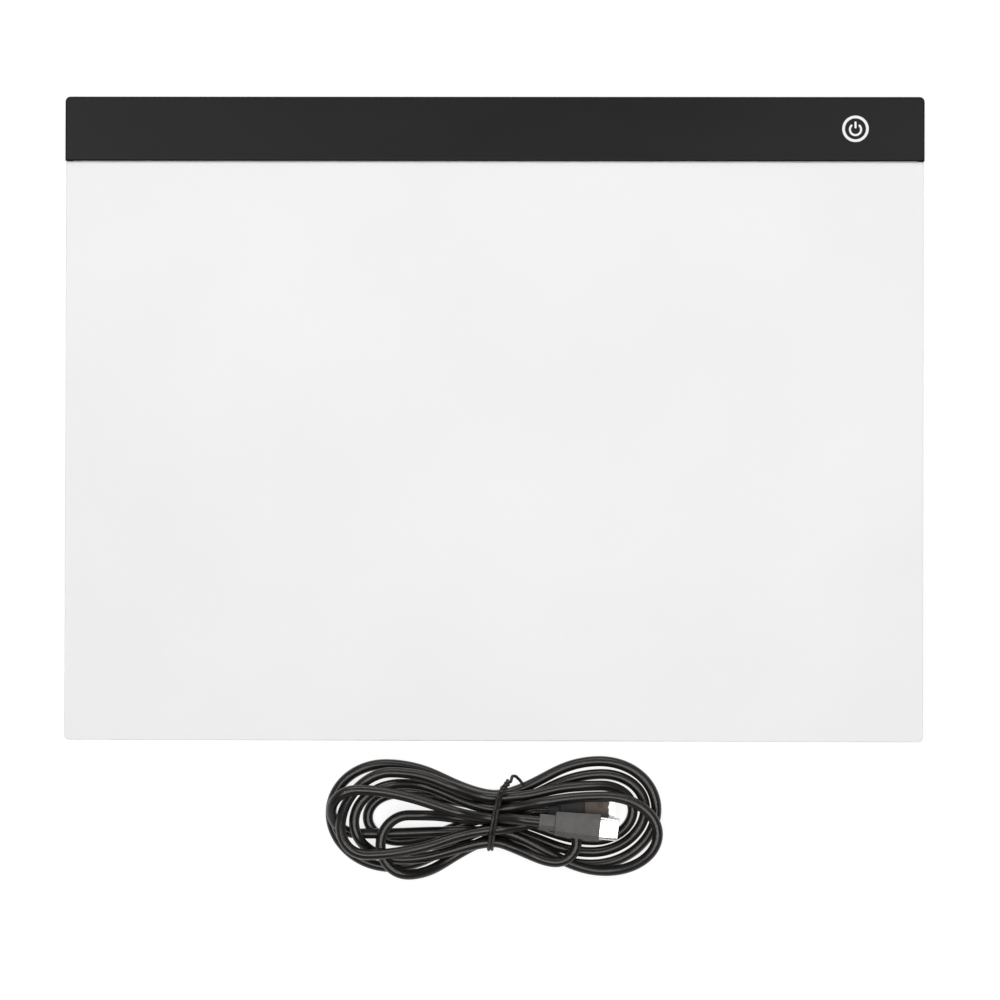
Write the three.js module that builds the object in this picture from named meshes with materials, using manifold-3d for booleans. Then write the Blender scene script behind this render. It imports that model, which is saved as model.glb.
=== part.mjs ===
// A slim LED tracing pad of A4 class, with its USB lead put up in a hank beside it.
// Millimetres, +Z up. The origin is on the table, under the middle of the pad.
// +X runs along the long side and +Y towards the black control strip.
import * as THREE from 'three';
import { mergeVertices } from 'three/addons/utils/BufferGeometryUtils.js';
import Module from 'manifold-3d';

const wasm = await Module();
wasm.setup();

// Pad, outside
const padLength = 315;
const padDepth = 236;
const cornerRadius = 1.8;
const stripDepth = 23.5;
const stripStep = 0.9;
const panelInset = 0.3;
const gap = 0.3;
const overrun = 1;
const arcStep = Math.PI / 10;
const discSides = 32;

// Stack, from the table upwards
const footHeight = 0.8;
const floorWall = 1.0;
const reflectorThickness = 0.2;
const guideThickness = 2.4;
const diffuserThickness = 0.2;
const panelThickness = 1.0;
const panelBevel = 0.25;
const tapeThickness = 0.1;
const tapeWidth = 1.4;
const edgeFoil = 0.3;
const sideWall = 2.0;

// Control strip cover
const capWall = 0.9;
const capSkirt = 1.2;
const capBevel = 0.35;
const pegRadius = 1.0;
const bossWall = 0.9;
const bossHeight = 2.4;
const pegShares = [-0.955, -0.5, -0.04, 0.968];
const pegFromBoard = 21.95;

// Feet
const footRadius = 5;
const footRecess = 0.3;
const footInset = 13;
const footBevel = 0.25;

// Row of light-emitting diodes
const guideUnderStrip = 5.5;
const ledCount = 24;
const ledWidth = 4.0;
const ledHeight = 1.4;
const ledDepth = 0.8;
const ledRim = 0.3;
const ledDish = 0.25;
const ledEndMargin = 4;
const ledBoardThickness = 0.8;
const ledBoardHeight = 3.0;
const ribCount = 7;
const ribLength = 8;
const ribThickness = 1.0;
const ribHeight = 1.3;

// Control board
const boardThickness = 1.0;
const boardLength = 58;
const boardDepth = 10.6;
const boardStandoff = 0.5;
const boardRightMargin = 10.2;
const stakeRadius = 0.8;
const stakePadRadius = 1.8;
const stakeInset = 2.6;
const stakeHeadRadius = 1.5;
const stakeHead = 0.5;

// Touch key
const keyFromRight = 25.3;
const keyFromRear = 11.7;
const electrodeRadius = 5.5;
const electrodeThickness = 0.2;
const foamSide = 3;

// USB-C socket
const socketWidth = 8.94;
const socketHeight = 3.16;
const socketDepth = 7.3;
const socketWall = 0.3;
const socketSetback = 0.5;
const socketFromKey = 28;
const socketWing = 1.4;
const socketWingWidth = 1.1;
const socketBlockDepth = 2.0;
const socketTongueWidth = 6.2;
const socketTongueThickness = 0.7;
const socketTongueLength = 4.4;

// Parts on the control board
const chipLeg = 0.8;
const chipLegWidth = 0.4;
const chipLegThickness = 0.25;
const chipLift = 0.15;
const touchChip = { length: 4.9, depth: 3.9, height: 1.3, legs: 4 };
const driverChip = { length: 2.9, depth: 1.6, height: 1.1, legs: 3 };
const touchChipFromLeft = 50;
const driverChipFromLeft = 27;
const inductorSide = 3.8;
const inductorHeight = 1.6;
const inductorFromLeft = 33.5;
const inductorWaist = 0.4;
const smallPart = { length: 2.0, depth: 1.25, height: 0.8, cap: 0.4, step: 0.1 };
const smallPartShares = [0.11, 0.38, 0.66];
const smallPartNames = ['capacitor_input', 'capacitor_output', 'capacitor_touch'];

// Leads from the control board to the row of diodes
const wireDiameter = 1.0;
const wirePitch = 2.2;
const wireOverlap = 2.4;
const wireReach = 14;
const wireSides = 8;
const wireBendSteps = 6;

// USB lead, put up in a hank
const cordDiameter = 3.8;
const cordSides = 6;
const hankFromPad = 27.9;
const hankOffset = 0.9;
const hankReach = 60.4;
const columnClearance = 0.6;
const layerClearance = 0.7;
const tieDiameter = 0.9;
const tieClearance = 0.3;
const waistSpread = 9;
const plugSteps = 7;
const runSteps = 6;
const foldSteps = 12;
const spreadShare = 0.85;
const leastCordGap = 0.4;
const measureStep = 0.5;
const measureSkip = 14;

// USB-C plug on the hank
const plugC = {
  rear: [15.9, -0.9], height: 16.2, slope: -0.1, lateShare: 0.9,
  neckLength: 6.0, neckWidth: 5.9, neckHeight: 5.0,
  bodyLength: 16.5, rearWidth: 8.7, frontWidth: 9.9, bodyHeight: 5.6, chamfer: 1.3,
  shellLength: 6.65, shellWidth: 8.34, shellHeight: 2.56, shellWall: 0.25,
  insertWall: 0.38, insertSetback: 0.4,
};

// USB-A plug on the hank
const plugA = {
  rear: [19.0, 1.9], height: 3.8, slope: 0, lateShare: 1.3,
  neckLength: 4.6, neckWidth: 5.2, neckHeight: 5.2,
  bodyLength: 9.1, rearWidth: 11.6, frontWidth: 12.4, bodyHeight: 6.8, chamfer: 1.2,
  shellLength: 11.0, shellWidth: 12.0, shellHeight: 4.5, shellWall: 0.3,
  insertThickness: 1.8, insertSetback: 0.6,
  windowLength: 2.0, windowWidth: 2.2, windowFromTip: 5.2, windowPitch: 5.6,
};
const neckTaperShare = 0.96;

// Twisted tie round the waist of the hank
const tieTurns = 2;
const tieTurnPitch = 1.42;
const tieOffset = -0.57;
const tieSlantShare = 0.187;
const tieArcSteps = 3;
const tieSides = 6;
const twistStart = [1.1, 10.0, 12.8];
const twistEnd = [4.7, 14.0, 10.6];
const twistRadius = 0.75;
const twistTurns = 1.5;
const twistSteps = 12;
const tieMeasureSkip = 3.6;
const tieTail = [[6.0, 15.6, 9.1], [7.3, 15.3, 7.9], [8.9, 13.8, 6.6], [10.3, 11.9, 5.6]];

// Heights of the stack
const zFloor = footHeight;
const zDeck = zFloor + floorWall;
const zGuide = zDeck + reflectorThickness;
const zDiffuser = zGuide + guideThickness;
const zPanel = zDiffuser + diffuserThickness;
const zTop = zPanel + panelThickness;
const zStrip = zTop + stripStep;
const zCeiling = zStrip - capWall;

// Places in plan
const halfLength = padLength / 2;
const halfDepth = padDepth / 2;
const stripFront = halfDepth - stripDepth;
const panelHalf = halfLength - panelInset;
const panelRear = stripFront - gap;
const guideHalf = panelHalf - sideWall - gap - edgeFoil;
const guideFront = -halfDepth + sideWall + gap + edgeFoil;
const guideRear = stripFront + guideUnderStrip;
const ledFace = guideRear + gap;
const ledBoardFront = ledFace + ledDepth;
const ledBoardRear = ledBoardFront + ledBoardThickness;
const capInnerHalf = halfLength - capSkirt;
const capInnerRear = halfDepth - capSkirt;
const capInnerFront = stripFront + capSkirt;
const deckHalf = capInnerHalf - gap;
const deckRear = capInnerRear - gap;
const boardRight = capInnerHalf - boardRightMargin;
const boardLeft = boardRight - boardLength;
const boardRear = deckRear - gap;
const boardFront = boardRear - boardDepth;
const zBoard = zDeck + boardStandoff;
const zBoardTop = zBoard + boardThickness;
const keyX = halfLength - keyFromRight;
const keyY = halfDepth - keyFromRear;
const socketX = keyX - socketFromKey;
const socketMouth = halfDepth - socketSetback;
const socketZ = (zDeck + zCeiling) / 2;
const bossRadius = pegRadius + gap + bossWall;
const pegY = deckRear - bossRadius - gap;
const pegPlaces = [...pegShares.map((share) => share * halfLength), boardLeft - pegFromBoard];

const group = new THREE.Group();

function finish(color, roughness, metalness = 0) {
  return () => new THREE.MeshStandardMaterial({ color, roughness, metalness });
}

const whitePlastic = finish(0xe9e9e8, 0.55);
const blackPlastic = finish(0x2f2f2f, 0.45);
const opalAcrylic = finish(0xeeeeee, 0.35);
const clearAcrylic = finish(0xdfe6e8, 0.12);
const whiteFilm = finish(0xf4f4f2, 0.7);
const circuitBoard = finish(0xe6e6e0, 0.5);
const steel = finish(0xc9c9c6, 0.28, 1);
const copper = finish(0xb87346, 0.35, 1);
const paleRubber = finish(0xd4d4d0, 0.6);
const blackFoam = finish(0x1c1c1c, 0.9);
const redJacket = finish(0xa81818, 0.45);
const blackJacket = finish(0x181818, 0.35);
const gripPlastic = finish(0x3a3a3a, 0.6);
const darkResin = finish(0x26262a, 0.5);
const palePhosphor = finish(0xe8dfa0, 0.5);

function piece(name, geometry, material, parent = group) {
  const mesh = new THREE.Mesh(geometry, material());
  mesh.name = name;
  parent.add(mesh);
  return mesh;
}

// Booleans: a closed geometry becomes a solid, and comes back as a geometry.
function solid(geometry) {
  const bare = geometry.clone();
  bare.deleteAttribute('normal');
  bare.deleteAttribute('uv');
  const merged = mergeVertices(bare);
  return new wasm.Manifold(new wasm.Mesh({
    numProp: 3,
    vertProperties: Float32Array.from(merged.attributes.position.array),
    triVerts: Uint32Array.from(merged.index.array),
  }));
}

function geometryOf(manifold) {
  const mesh = manifold.getMesh();
  const geometry = new THREE.BufferGeometry();
  geometry.setAttribute('position', new THREE.BufferAttribute(mesh.vertProperties, 3));
  geometry.setIndex(new THREE.BufferAttribute(mesh.triVerts, 1));
  return geometry;
}

// A box between two corners.
function box(x0, x1, y0, y1, z0, z1) {
  const geometry = new THREE.BoxGeometry(x1 - x0, y1 - y0, z1 - z0);
  return geometry.translate((x0 + x1) / 2, (y0 + y1) / 2, (z0 + z1) / 2);
}

// The points of an arc, both ends included, or one point where the radius is nothing.
function arc(x, y, radius, from, to) {
  const steps = radius > 0 ? Math.ceil((to - from) / arcStep) : 0;
  return Array.from({ length: steps + 1 }, (_, k) => {
    const angle = from + ((to - from) * k) / Math.max(steps, 1);
    return new THREE.Vector2(x + radius * Math.cos(angle), y + radius * Math.sin(angle));
  });
}

// A rectangle with its own radius at the front and at the rear corners.
function plate(x0, x1, y0, y1, frontRadius, rearRadius) {
  const quarter = Math.PI / 2;
  return new THREE.Shape([
    ...arc(x1 - rearRadius, y1 - rearRadius, rearRadius, 0, quarter),
    ...arc(x0 + rearRadius, y1 - rearRadius, rearRadius, quarter, 2 * quarter),
    ...arc(x0 + frontRadius, y0 + frontRadius, frontRadius, 2 * quarter, 3 * quarter),
    ...arc(x1 - frontRadius, y0 + frontRadius, frontRadius, 3 * quarter, 4 * quarter),
  ]);
}

// A shape carried straight up from one height to another.
function prism(shape, z0, z1) {
  const geometry = new THREE.ExtrudeGeometry(shape, { depth: z1 - z0, bevelEnabled: false });
  return geometry.translate(0, 0, z0);
}

// A plate whose upper edge is cut off by a bevel all round.
function beveledPlate([x0, x1, y0, y1, frontRadius, rearRadius], z0, z1, bevel) {
  const ring = (inset, z) => {
    const front = Math.max(frontRadius - inset, 0);
    const rear = Math.max(rearRadius - inset, 0);
    return plate(x0 + inset, x1 - inset, y0 + inset, y1 - inset, front, rear)
      .getPoints().map(({ x, y }) => new THREE.Vector3(x, y, z));
  };
  return loft([ring(0, z0), ring(0, z1 - bevel), ring(bevel, z1)]);
}

// A round disc that stands on a height, with its lower edge bevelled where that is asked.
function disc(radius, z0, z1, x, y, bevel = 0) {
  const profile = [
    new THREE.Vector2(0, z0),
    new THREE.Vector2(radius - bevel, z0),
    new THREE.Vector2(radius, z0 + bevel),
    new THREE.Vector2(radius, z1),
    new THREE.Vector2(0, z1),
  ];
  if (bevel === 0) profile.splice(1, 1);
  return new THREE.LatheGeometry(profile, discSides).rotateX(Math.PI / 2).translate(x, y, 0);
}

// Rings of the same count of points, joined into one closed skin with flat ends.
function loft(rings) {
  const count = rings[0].length;
  const positions = [];
  const index = [];
  rings.flat().forEach((point) => positions.push(point.x, point.y, point.z));
  for (let ring = 0; ring < rings.length - 1; ring += 1) {
    for (let side = 0; side < count; side += 1) {
      const a = ring * count + side;
      const b = ring * count + ((side + 1) % count);
      index.push(a, b, a + count, b, b + count, a + count);
    }
  }
  const last = (rings.length - 1) * count;
  for (let side = 1; side < count - 1; side += 1) {
    index.push(0, side + 1, side);
    index.push(last, last + side, last + side + 1);
  }
  const geometry = new THREE.BufferGeometry();
  geometry.setAttribute('position', new THREE.Float32BufferAttribute(positions, 3));
  geometry.setIndex(index);
  return geometry;
}

// A round tube along a list of points. Its rings turn as little as the route lets them.
function tube(points, diameter, sides) {
  const tangents = points.map((point, i) => {
    const before = points[Math.max(i - 1, 0)];
    const after = points[Math.min(i + 1, points.length - 1)];
    return after.clone().sub(before).normalize();
  });
  let side = new THREE.Vector3(0, 0, 1).cross(tangents[0]).normalize();
  const rings = points.map((point, i) => {
    side = side.clone().addScaledVector(tangents[i], -side.dot(tangents[i])).normalize();
    const up = tangents[i].clone().cross(side);
    return Array.from({ length: sides }, (_, k) => {
      const angle = (2 * Math.PI * k) / sides;
      return point.clone()
        .addScaledVector(side, Math.cos(angle) * (diameter / 2))
        .addScaledVector(up, Math.sin(angle) * (diameter / 2));
    });
  });
  return loft(rings);
}

// Ribs stand behind the row of diodes, evenly from end to end.
function ribX(i) {
  return -guideHalf + ribLength + (2 * (guideHalf - ribLength) * i) / (ribCount - 1);
}

const footX = halfLength - footInset;
const footFrontY = -halfDepth + footInset;
const footRearY = halfDepth - footInset;
const feetPlaces = [
  ['foot_front_left', -footX, footFrontY],
  ['foot_front_right', footX, footFrontY],
  ['foot_rear_left', -footX, footRearY],
  ['foot_rear_right', footX, footRearY],
];

// Rear cover: the moulded tray that carries everything. Its floor runs on under the
// control strip, with bosses for the cover's pegs, ribs behind the diodes and stakes for
// the control board.
function rearCover() {
  const outer = plate(-panelHalf, panelHalf, -halfDepth, panelRear, cornerRadius, 0);
  const cavity = plate(
    -panelHalf + sideWall, panelHalf - sideWall,
    -halfDepth + sideWall, panelRear + overrun, 0, 0,
  );
  const neckHalf = guideHalf + edgeFoil;
  let tray = solid(prism(outer, zFloor, zPanel - tapeThickness));
  tray = tray.subtract(solid(prism(cavity, zDeck, zPanel + overrun)));
  tray = tray.add(solid(box(
    -neckHalf, neckHalf, panelRear - overrun, capInnerFront + gap, zFloor, zDeck,
  )));
  const innerRadius = Math.max(cornerRadius - capSkirt, 0);
  const deck = plate(-deckHalf, deckHalf, capInnerFront + gap, deckRear, 0, innerRadius);
  tray = tray.add(solid(prism(deck, zFloor, zDeck)));
  pegPlaces.forEach((x) => {
    tray = tray.add(solid(disc(bossRadius, zFloor + floorWall / 2, zDeck + bossHeight, x, pegY)));
    tray = tray.subtract(solid(disc(pegRadius + gap, zDeck, zDeck + bossHeight + overrun, x, pegY)));
  });
  for (let i = 0; i < ribCount; i += 1) {
    const x = ribX(i);
    tray = tray.add(solid(box(
      x - ribLength / 2, x + ribLength / 2, ledBoardRear, ledBoardRear + ribThickness,
      zFloor + floorWall / 2, zDeck + ribHeight,
    )));
  }
  [boardLeft + stakeInset, boardRight - stakeInset].forEach((x) => {
    const y = boardFront + stakeInset;
    tray = tray.add(solid(disc(stakePadRadius, zFloor + floorWall / 2, zBoard, x, y)));
    tray = tray.add(solid(disc(stakeRadius, zBoard - floorWall / 2, zBoardTop + stakeHead, x, y)));
    tray = tray.add(solid(disc(stakeHeadRadius, zBoardTop, zBoardTop + stakeHead, x, y)));
  });
  feetPlaces.forEach(([, x, y]) => {
    tray = tray.subtract(solid(disc(footRadius + gap, zFloor - overrun, zFloor + footRecess, x, y)));
  });
  return geometryOf(tray);
}

// Strip cover: a black cap with a skirt on three sides, a lip at the front that stands
// against the panel, and pegs that press into the rear cover's bosses.
function stripCover() {
  const outline = [-halfLength, halfLength, stripFront, halfDepth, 0, cornerRadius];
  let cap = solid(beveledPlate(outline, zFloor, zStrip, capBevel));
  const innerRadius = Math.max(cornerRadius - capSkirt, 0);
  const cavity = plate(-capInnerHalf, capInnerHalf, capInnerFront, capInnerRear, 0, innerRadius);
  cap = cap.subtract(solid(prism(cavity, zFloor - overrun, zCeiling)));
  const mouthHalf = guideHalf + edgeFoil + gap;
  cap = cap.subtract(solid(box(
    -mouthHalf, mouthHalf, stripFront - overrun, capInnerFront + overrun, zFloor - overrun, zPanel,
  )));
  cap = cap.subtract(socketHole());
  pegPlaces.forEach((x) => {
    cap = cap.add(solid(disc(
      pegRadius, zDeck + gap, zCeiling + capWall / 2, x, pegY,
    )));
  });
  return geometryOf(cap);
}

// The socket's outline: a slot with fully round ends.
function slotShape(width, height) {
  const radius = height / 2;
  const flat = width / 2 - radius;
  const quarter = Math.PI / 2;
  return new THREE.Shape([
    ...arc(flat, 0, radius, -quarter, quarter),
    ...arc(-flat, 0, radius, quarter, 3 * quarter),
  ]);
}

// A slot-shaped bar that runs along Y.
function slotBar(width, height, y0, y1, x, z) {
  const geometry = new THREE.ExtrudeGeometry(slotShape(width, height), {
    depth: y1 - y0, bevelEnabled: false,
  });
  return solid(geometry.rotateX(Math.PI / 2).translate(x, y1, z));
}

function socketHole() {
  return slotBar(
    socketWidth + 2 * gap, socketHeight + 2 * gap,
    capInnerRear - overrun, halfDepth + overrun, socketX, socketZ,
  );
}

// Socket shell: a drawn steel tube with four wings soldered to the control board.
function socketShell() {
  const rear = socketMouth - socketDepth;
  let shell = slotBar(socketWidth, socketHeight, rear, socketMouth, socketX, socketZ);
  const inner = 2 * socketWall;
  const wingInside = socketWidth / 2 - socketHeight / 4;
  const wingOutside = socketWidth / 2 + socketWing;
  [rear + socketWingWidth, boardRear - socketWingWidth].forEach((y) => {
    [[-wingOutside, -wingInside], [wingInside, wingOutside]].forEach(([x0, x1]) => {
      shell = shell.add(solid(box(
        socketX + x0, socketX + x1, y - socketWingWidth / 2, y + socketWingWidth / 2,
        zBoardTop, zBoardTop + socketWall,
      )));
    });
  });
  const bore = slotBar(
    socketWidth - inner, socketHeight - inner,
    rear - overrun, socketMouth + overrun, socketX, socketZ,
  );
  return geometryOf(shell.subtract(bore));
}

// Socket tongue: the insulating block at the back of the shell, with its thin tongue.
function socketTongue() {
  const rear = socketMouth - socketDepth;
  const clear = 2 * (socketWall + gap / 2);
  const block = slotBar(
    socketWidth - clear, socketHeight - clear,
    rear, rear + socketBlockDepth, socketX, socketZ,
  );
  const tongue = solid(box(
    socketX - socketTongueWidth / 2, socketX + socketTongueWidth / 2,
    rear + socketBlockDepth / 2, rear + socketBlockDepth + socketTongueLength,
    socketZ - socketTongueThickness / 2, socketZ + socketTongueThickness / 2,
  ));
  return geometryOf(block.add(tongue));
}

// Control board, with a bay cut in its rear edge that the socket drops into.
function controlBoard() {
  let board = solid(box(boardLeft, boardRight, boardFront, boardRear, zBoard, zBoardTop));
  const bayHalf = socketWidth / 2 + gap;
  board = board.subtract(solid(box(
    socketX - bayHalf, socketX + bayHalf,
    socketMouth - socketDepth - gap, boardRear + overrun, zBoard - overrun, zBoardTop + overrun,
  )));
  [boardLeft + stakeInset, boardRight - stakeInset].forEach((x) => {
    board = board.subtract(solid(disc(
      stakeRadius + gap, zBoard - overrun, zBoardTop + overrun, x, boardFront + stakeInset,
    )));
  });
  return geometryOf(board);
}

// A moulded chip with legs on its two long sides, standing on the board.
function chip(size, x, y) {
  let body = solid(box(
    x - size.length / 2, x + size.length / 2, y - size.depth / 2, y + size.depth / 2,
    zBoardTop + chipLift, zBoardTop + size.height,
  ));
  const pitch = size.length / size.legs;
  const foot = size.depth / 2 + chipLeg;
  for (let i = 0; i < size.legs; i += 1) {
    const legX = x - size.length / 2 + pitch * (i + 0.5);
    body = body.add(solid(box(
      legX - chipLegWidth / 2, legX + chipLegWidth / 2, y - foot, y + foot,
      zBoardTop, zBoardTop + chipLegThickness,
    )));
  }
  return geometryOf(body);
}

// A small two-ended part: a body between two raised metal end caps.
function smallChip(x, y) {
  const { length, depth, height, cap, step } = smallPart;
  const body = solid(box(
    x - length / 2, x + length / 2, y - depth / 2 + step, y + depth / 2 - step,
    zBoardTop, zBoardTop + height - step,
  ));
  const ends = [x - length / 2, x + length / 2 - cap].map((left) => solid(box(
    left, left + cap, y - depth / 2, y + depth / 2, zBoardTop, zBoardTop + height,
  )));
  return geometryOf(ends.reduce((sum, end) => sum.add(end), body));
}

// An inductor: a square ferrite with a round winding space drawn in at its middle.
function inductor(x, y) {
  const half = inductorSide / 2;
  const radius = half - inductorWaist;
  const third = inductorHeight / 3;
  const flange = plate(x - half, x + half, y - half, y + half, inductorWaist, inductorWaist);
  const low = solid(prism(flange, zBoardTop, zBoardTop + third));
  const high = solid(prism(flange, zBoardTop + 2 * third, zBoardTop + inductorHeight));
  const core = solid(disc(radius, zBoardTop + third / 2, zBoardTop + inductorHeight - third / 2, x, y));
  return geometryOf(low.add(core).add(high));
}

// One diode: a white package with a dished window that faces the light guide.
function led(x) {
  const z = zGuide + guideThickness / 2;
  const body = solid(box(
    x - ledWidth / 2, x + ledWidth / 2, ledFace, ledBoardFront, z - ledHeight / 2, z + ledHeight / 2,
  ));
  const dish = solid(box(
    x - ledWidth / 2 + ledRim, x + ledWidth / 2 - ledRim, ledFace - overrun, ledFace + ledDish,
    z - ledHeight / 2 + ledRim, z + ledHeight / 2 - ledRim,
  ));
  return geometryOf(body.subtract(dish));
}

// Adhesive frame between the tray's walls and the panel, open towards the strip.
function panelTape() {
  const outerHalf = panelHalf - (sideWall - tapeWidth) / 2;
  const front = -halfDepth + (sideWall - tapeWidth) / 2;
  const frame = solid(box(
    -outerHalf, outerHalf, front, panelRear, zPanel - tapeThickness, zPanel,
  ));
  const open = solid(box(
    -outerHalf + tapeWidth, outerHalf - tapeWidth, front + tapeWidth, panelRear + overrun,
    zPanel - overrun, zPanel + overrun,
  ));
  return geometryOf(frame.subtract(open));
}

// A lead from a pad on the control board to the back of the diode board, above the ribs.
function lead(order) {
  const z = zBoardTop + wireDiameter / 2;
  const startX = boardLeft + wireOverlap;
  const y = boardFront + stakeInset + stakePadRadius + gap + wireDiameter + order * wirePitch;
  const endX = boardLeft - wireReach - order * wirePitch;
  const endY = ledBoardRear + gap;
  const radius = wirePitch * (1 + order);
  const points = [new THREE.Vector3(startX, y, z)];
  for (let i = 0; i <= wireBendSteps; i += 1) {
    const angle = (Math.PI / 2) * (i / wireBendSteps);
    points.push(new THREE.Vector3(
      endX + radius * (1 - Math.sin(angle)), y - radius * (1 - Math.cos(angle)), z,
    ));
  }
  points.push(new THREE.Vector3(endX, endY, z));
  return tube(points, wireDiameter, wireSides);
}

piece('rear_cover', rearCover(), whitePlastic);
feetPlaces.forEach(([name, x, y]) => {
  piece(name, disc(footRadius, 0, zFloor + footRecess, x, y, footBevel), paleRubber);
});
piece('strip_cover', stripCover(), blackPlastic);
piece(
  'front_panel',
  beveledPlate([-panelHalf, panelHalf, -halfDepth, panelRear, cornerRadius, 0], zPanel, zTop, panelBevel),
  opalAcrylic,
);
piece('panel_tape', panelTape(), whiteFilm);
piece(
  'reflector_sheet',
  box(-guideHalf, guideHalf, guideFront, guideRear, zDeck, zGuide),
  whiteFilm,
);
piece(
  'light_guide',
  box(-guideHalf, guideHalf, guideFront, guideRear, zGuide, zDiffuser),
  clearAcrylic,
);
piece(
  'diffuser_sheet',
  box(-guideHalf, guideHalf, guideFront, guideRear, zDiffuser, zPanel),
  whiteFilm,
);
piece(
  'edge_foil_left',
  box(-guideHalf - edgeFoil, -guideHalf, guideFront, guideRear, zGuide, zDiffuser),
  whiteFilm,
);
piece(
  'edge_foil_right',
  box(guideHalf, guideHalf + edgeFoil, guideFront, guideRear, zGuide, zDiffuser),
  whiteFilm,
);
piece(
  'edge_foil_front',
  box(-guideHalf, guideHalf, guideFront - edgeFoil, guideFront, zGuide, zDiffuser),
  whiteFilm,
);
piece(
  'led_board',
  box(-guideHalf, guideHalf, ledBoardFront, ledBoardRear, zDeck, zDeck + ledBoardHeight),
  circuitBoard,
);
for (let i = 0; i < ledCount; i += 1) {
  const reach = guideHalf - ledEndMargin;
  const x = -reach + (2 * reach * i) / (ledCount - 1);
  piece(`led_${String(i + 1).padStart(2, '0')}`, led(x), palePhosphor);
}
piece('control_board', controlBoard(), circuitBoard);
piece('usb_socket_shell', socketShell(), steel);
piece('usb_socket_tongue', socketTongue(), darkResin);
piece(
  'touch_electrode',
  disc(electrodeRadius, zCeiling - electrodeThickness, zCeiling, keyX, keyY),
  copper,
);
piece(
  'touch_foam',
  box(
    keyX - foamSide / 2, keyX + foamSide / 2, boardFront + gap, boardFront + gap + foamSide,
    zBoardTop, zCeiling - electrodeThickness,
  ),
  blackFoam,
);
const chipY = boardFront + boardDepth / 2;
piece('touch_chip', chip(touchChip, boardLeft + touchChipFromLeft, chipY), darkResin);
piece('driver_chip', chip(driverChip, boardLeft + driverChipFromLeft, chipY), darkResin);
piece('inductor', inductor(boardLeft + inductorFromLeft, chipY), darkResin);
smallPartNames.forEach((name, i) => {
  const x = boardLeft + smallPartShares[i] * boardLength;
  piece(name, smallChip(x, boardFront + smallPart.depth), circuitBoard);
});
piece('lead_positive', lead(0), redJacket);
piece('lead_negative', lead(1), blackJacket);

// The hank lies in front of the pad. Its loops go to and fro through the waist, where
// they cross in five columns and three layers. In a row of this table: the lobe's side,
// the slots (column, layer) where it enters and leaves, how far it reaches, where its two
// runs crown, how high each run crowns, a lean of the fold, and its layers along the way.
// Lengths are shares of the reach of the widest lobe, and heights are layers.
const lobeShares = [
  [-1, [0, 2], [-2, 1], 0.69, 0.519, 0.519, 0.016, -0.344, 0,
    [[0, 2], [0.12, 2.1], [0.3, 3], [0.6, 3], [0.84, 1.15], [1, 1]]],
  [1, [-2, 1], [2, 1], 0.977, 0.584, 0.633, -0.289, 0.338, 0, [[0, 1], [1, 1]]],
  [-1, [2, 1], [-1, 1], 1, 0.666, 0.633, 0.315, -0.308, 0, [[0, 1], [1, 1]]],
  [1, [-1, 1], [1, 1], 0.904, 0.584, 0.649, -0.211, 0.255, 0, [[0, 1], [1, 1]]],
  [-1, [1, 1], [0, 1], 0.747, 0.584, 0.584, 0.13, -0.146, 0, [[0, 1], [1, 1]]],
  [1, [0, 1], [2, 2], 0.823, 0.601, 0.64, -0.136, 0.188, 0, [[0, 1], [0.5, 1], [0.75, 2], [1, 2]]],
  [-1, [2, 2], [-1, 3], 0.909, 0.698, 0.698, 0.274, -0.218, 0.068,
    [[0, 2], [0.14, 3], [0.4, 3], [0.58, 4.1], [0.8, 4], [1, 3]]],
  [1, [-1, 3], [-2, 2], 0.495, 0.357, 0.357, -0.021, -0.269, 0,
    [[0, 3], [0.15, 2.75], [0.7, 3], [1, 2]]],
  [-1, [-2, 2], [1, 2], 0.834, 0.568, 0.568, -0.256, 0.188, 0,
    [[0, 2], [0.36, 2], [0.46, 3], [0.62, 3], [0.8, 2], [1, 2]]],
  [1, [1, 2], [-1, 2], 0.984, 0.666, 0.666, 0.133, -0.321, 0,
    [[0, 2], [0.15, 3], [0.5, 3], [0.72, 2], [1, 2]]],
  [-1, [-1, 2], [0, 3], 0.987, 0.828, 0.828, -0.101, 0.172, 0,
    [[0, 2], [0.42, 2], [0.57, 4.2], [0.88, 4.1], [1, 3]]],
];
const cordRadius = cordDiameter / 2;
const columnPitch = cordDiameter + columnClearance;
const layerPitch = cordDiameter + layerClearance;
const waistLift = tieDiameter + 2 * tieClearance;

// Half a cosine wave from 0 to 1.
function ease(share) {
  return (1 - Math.cos(Math.PI * share)) / 2;
}

function layerHeight(layer, along) {
  const lift = waistLift * Math.exp(-((along / waistSpread) ** 2));
  return cordRadius + (layer - 1) * layerPitch + lift;
}

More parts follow.
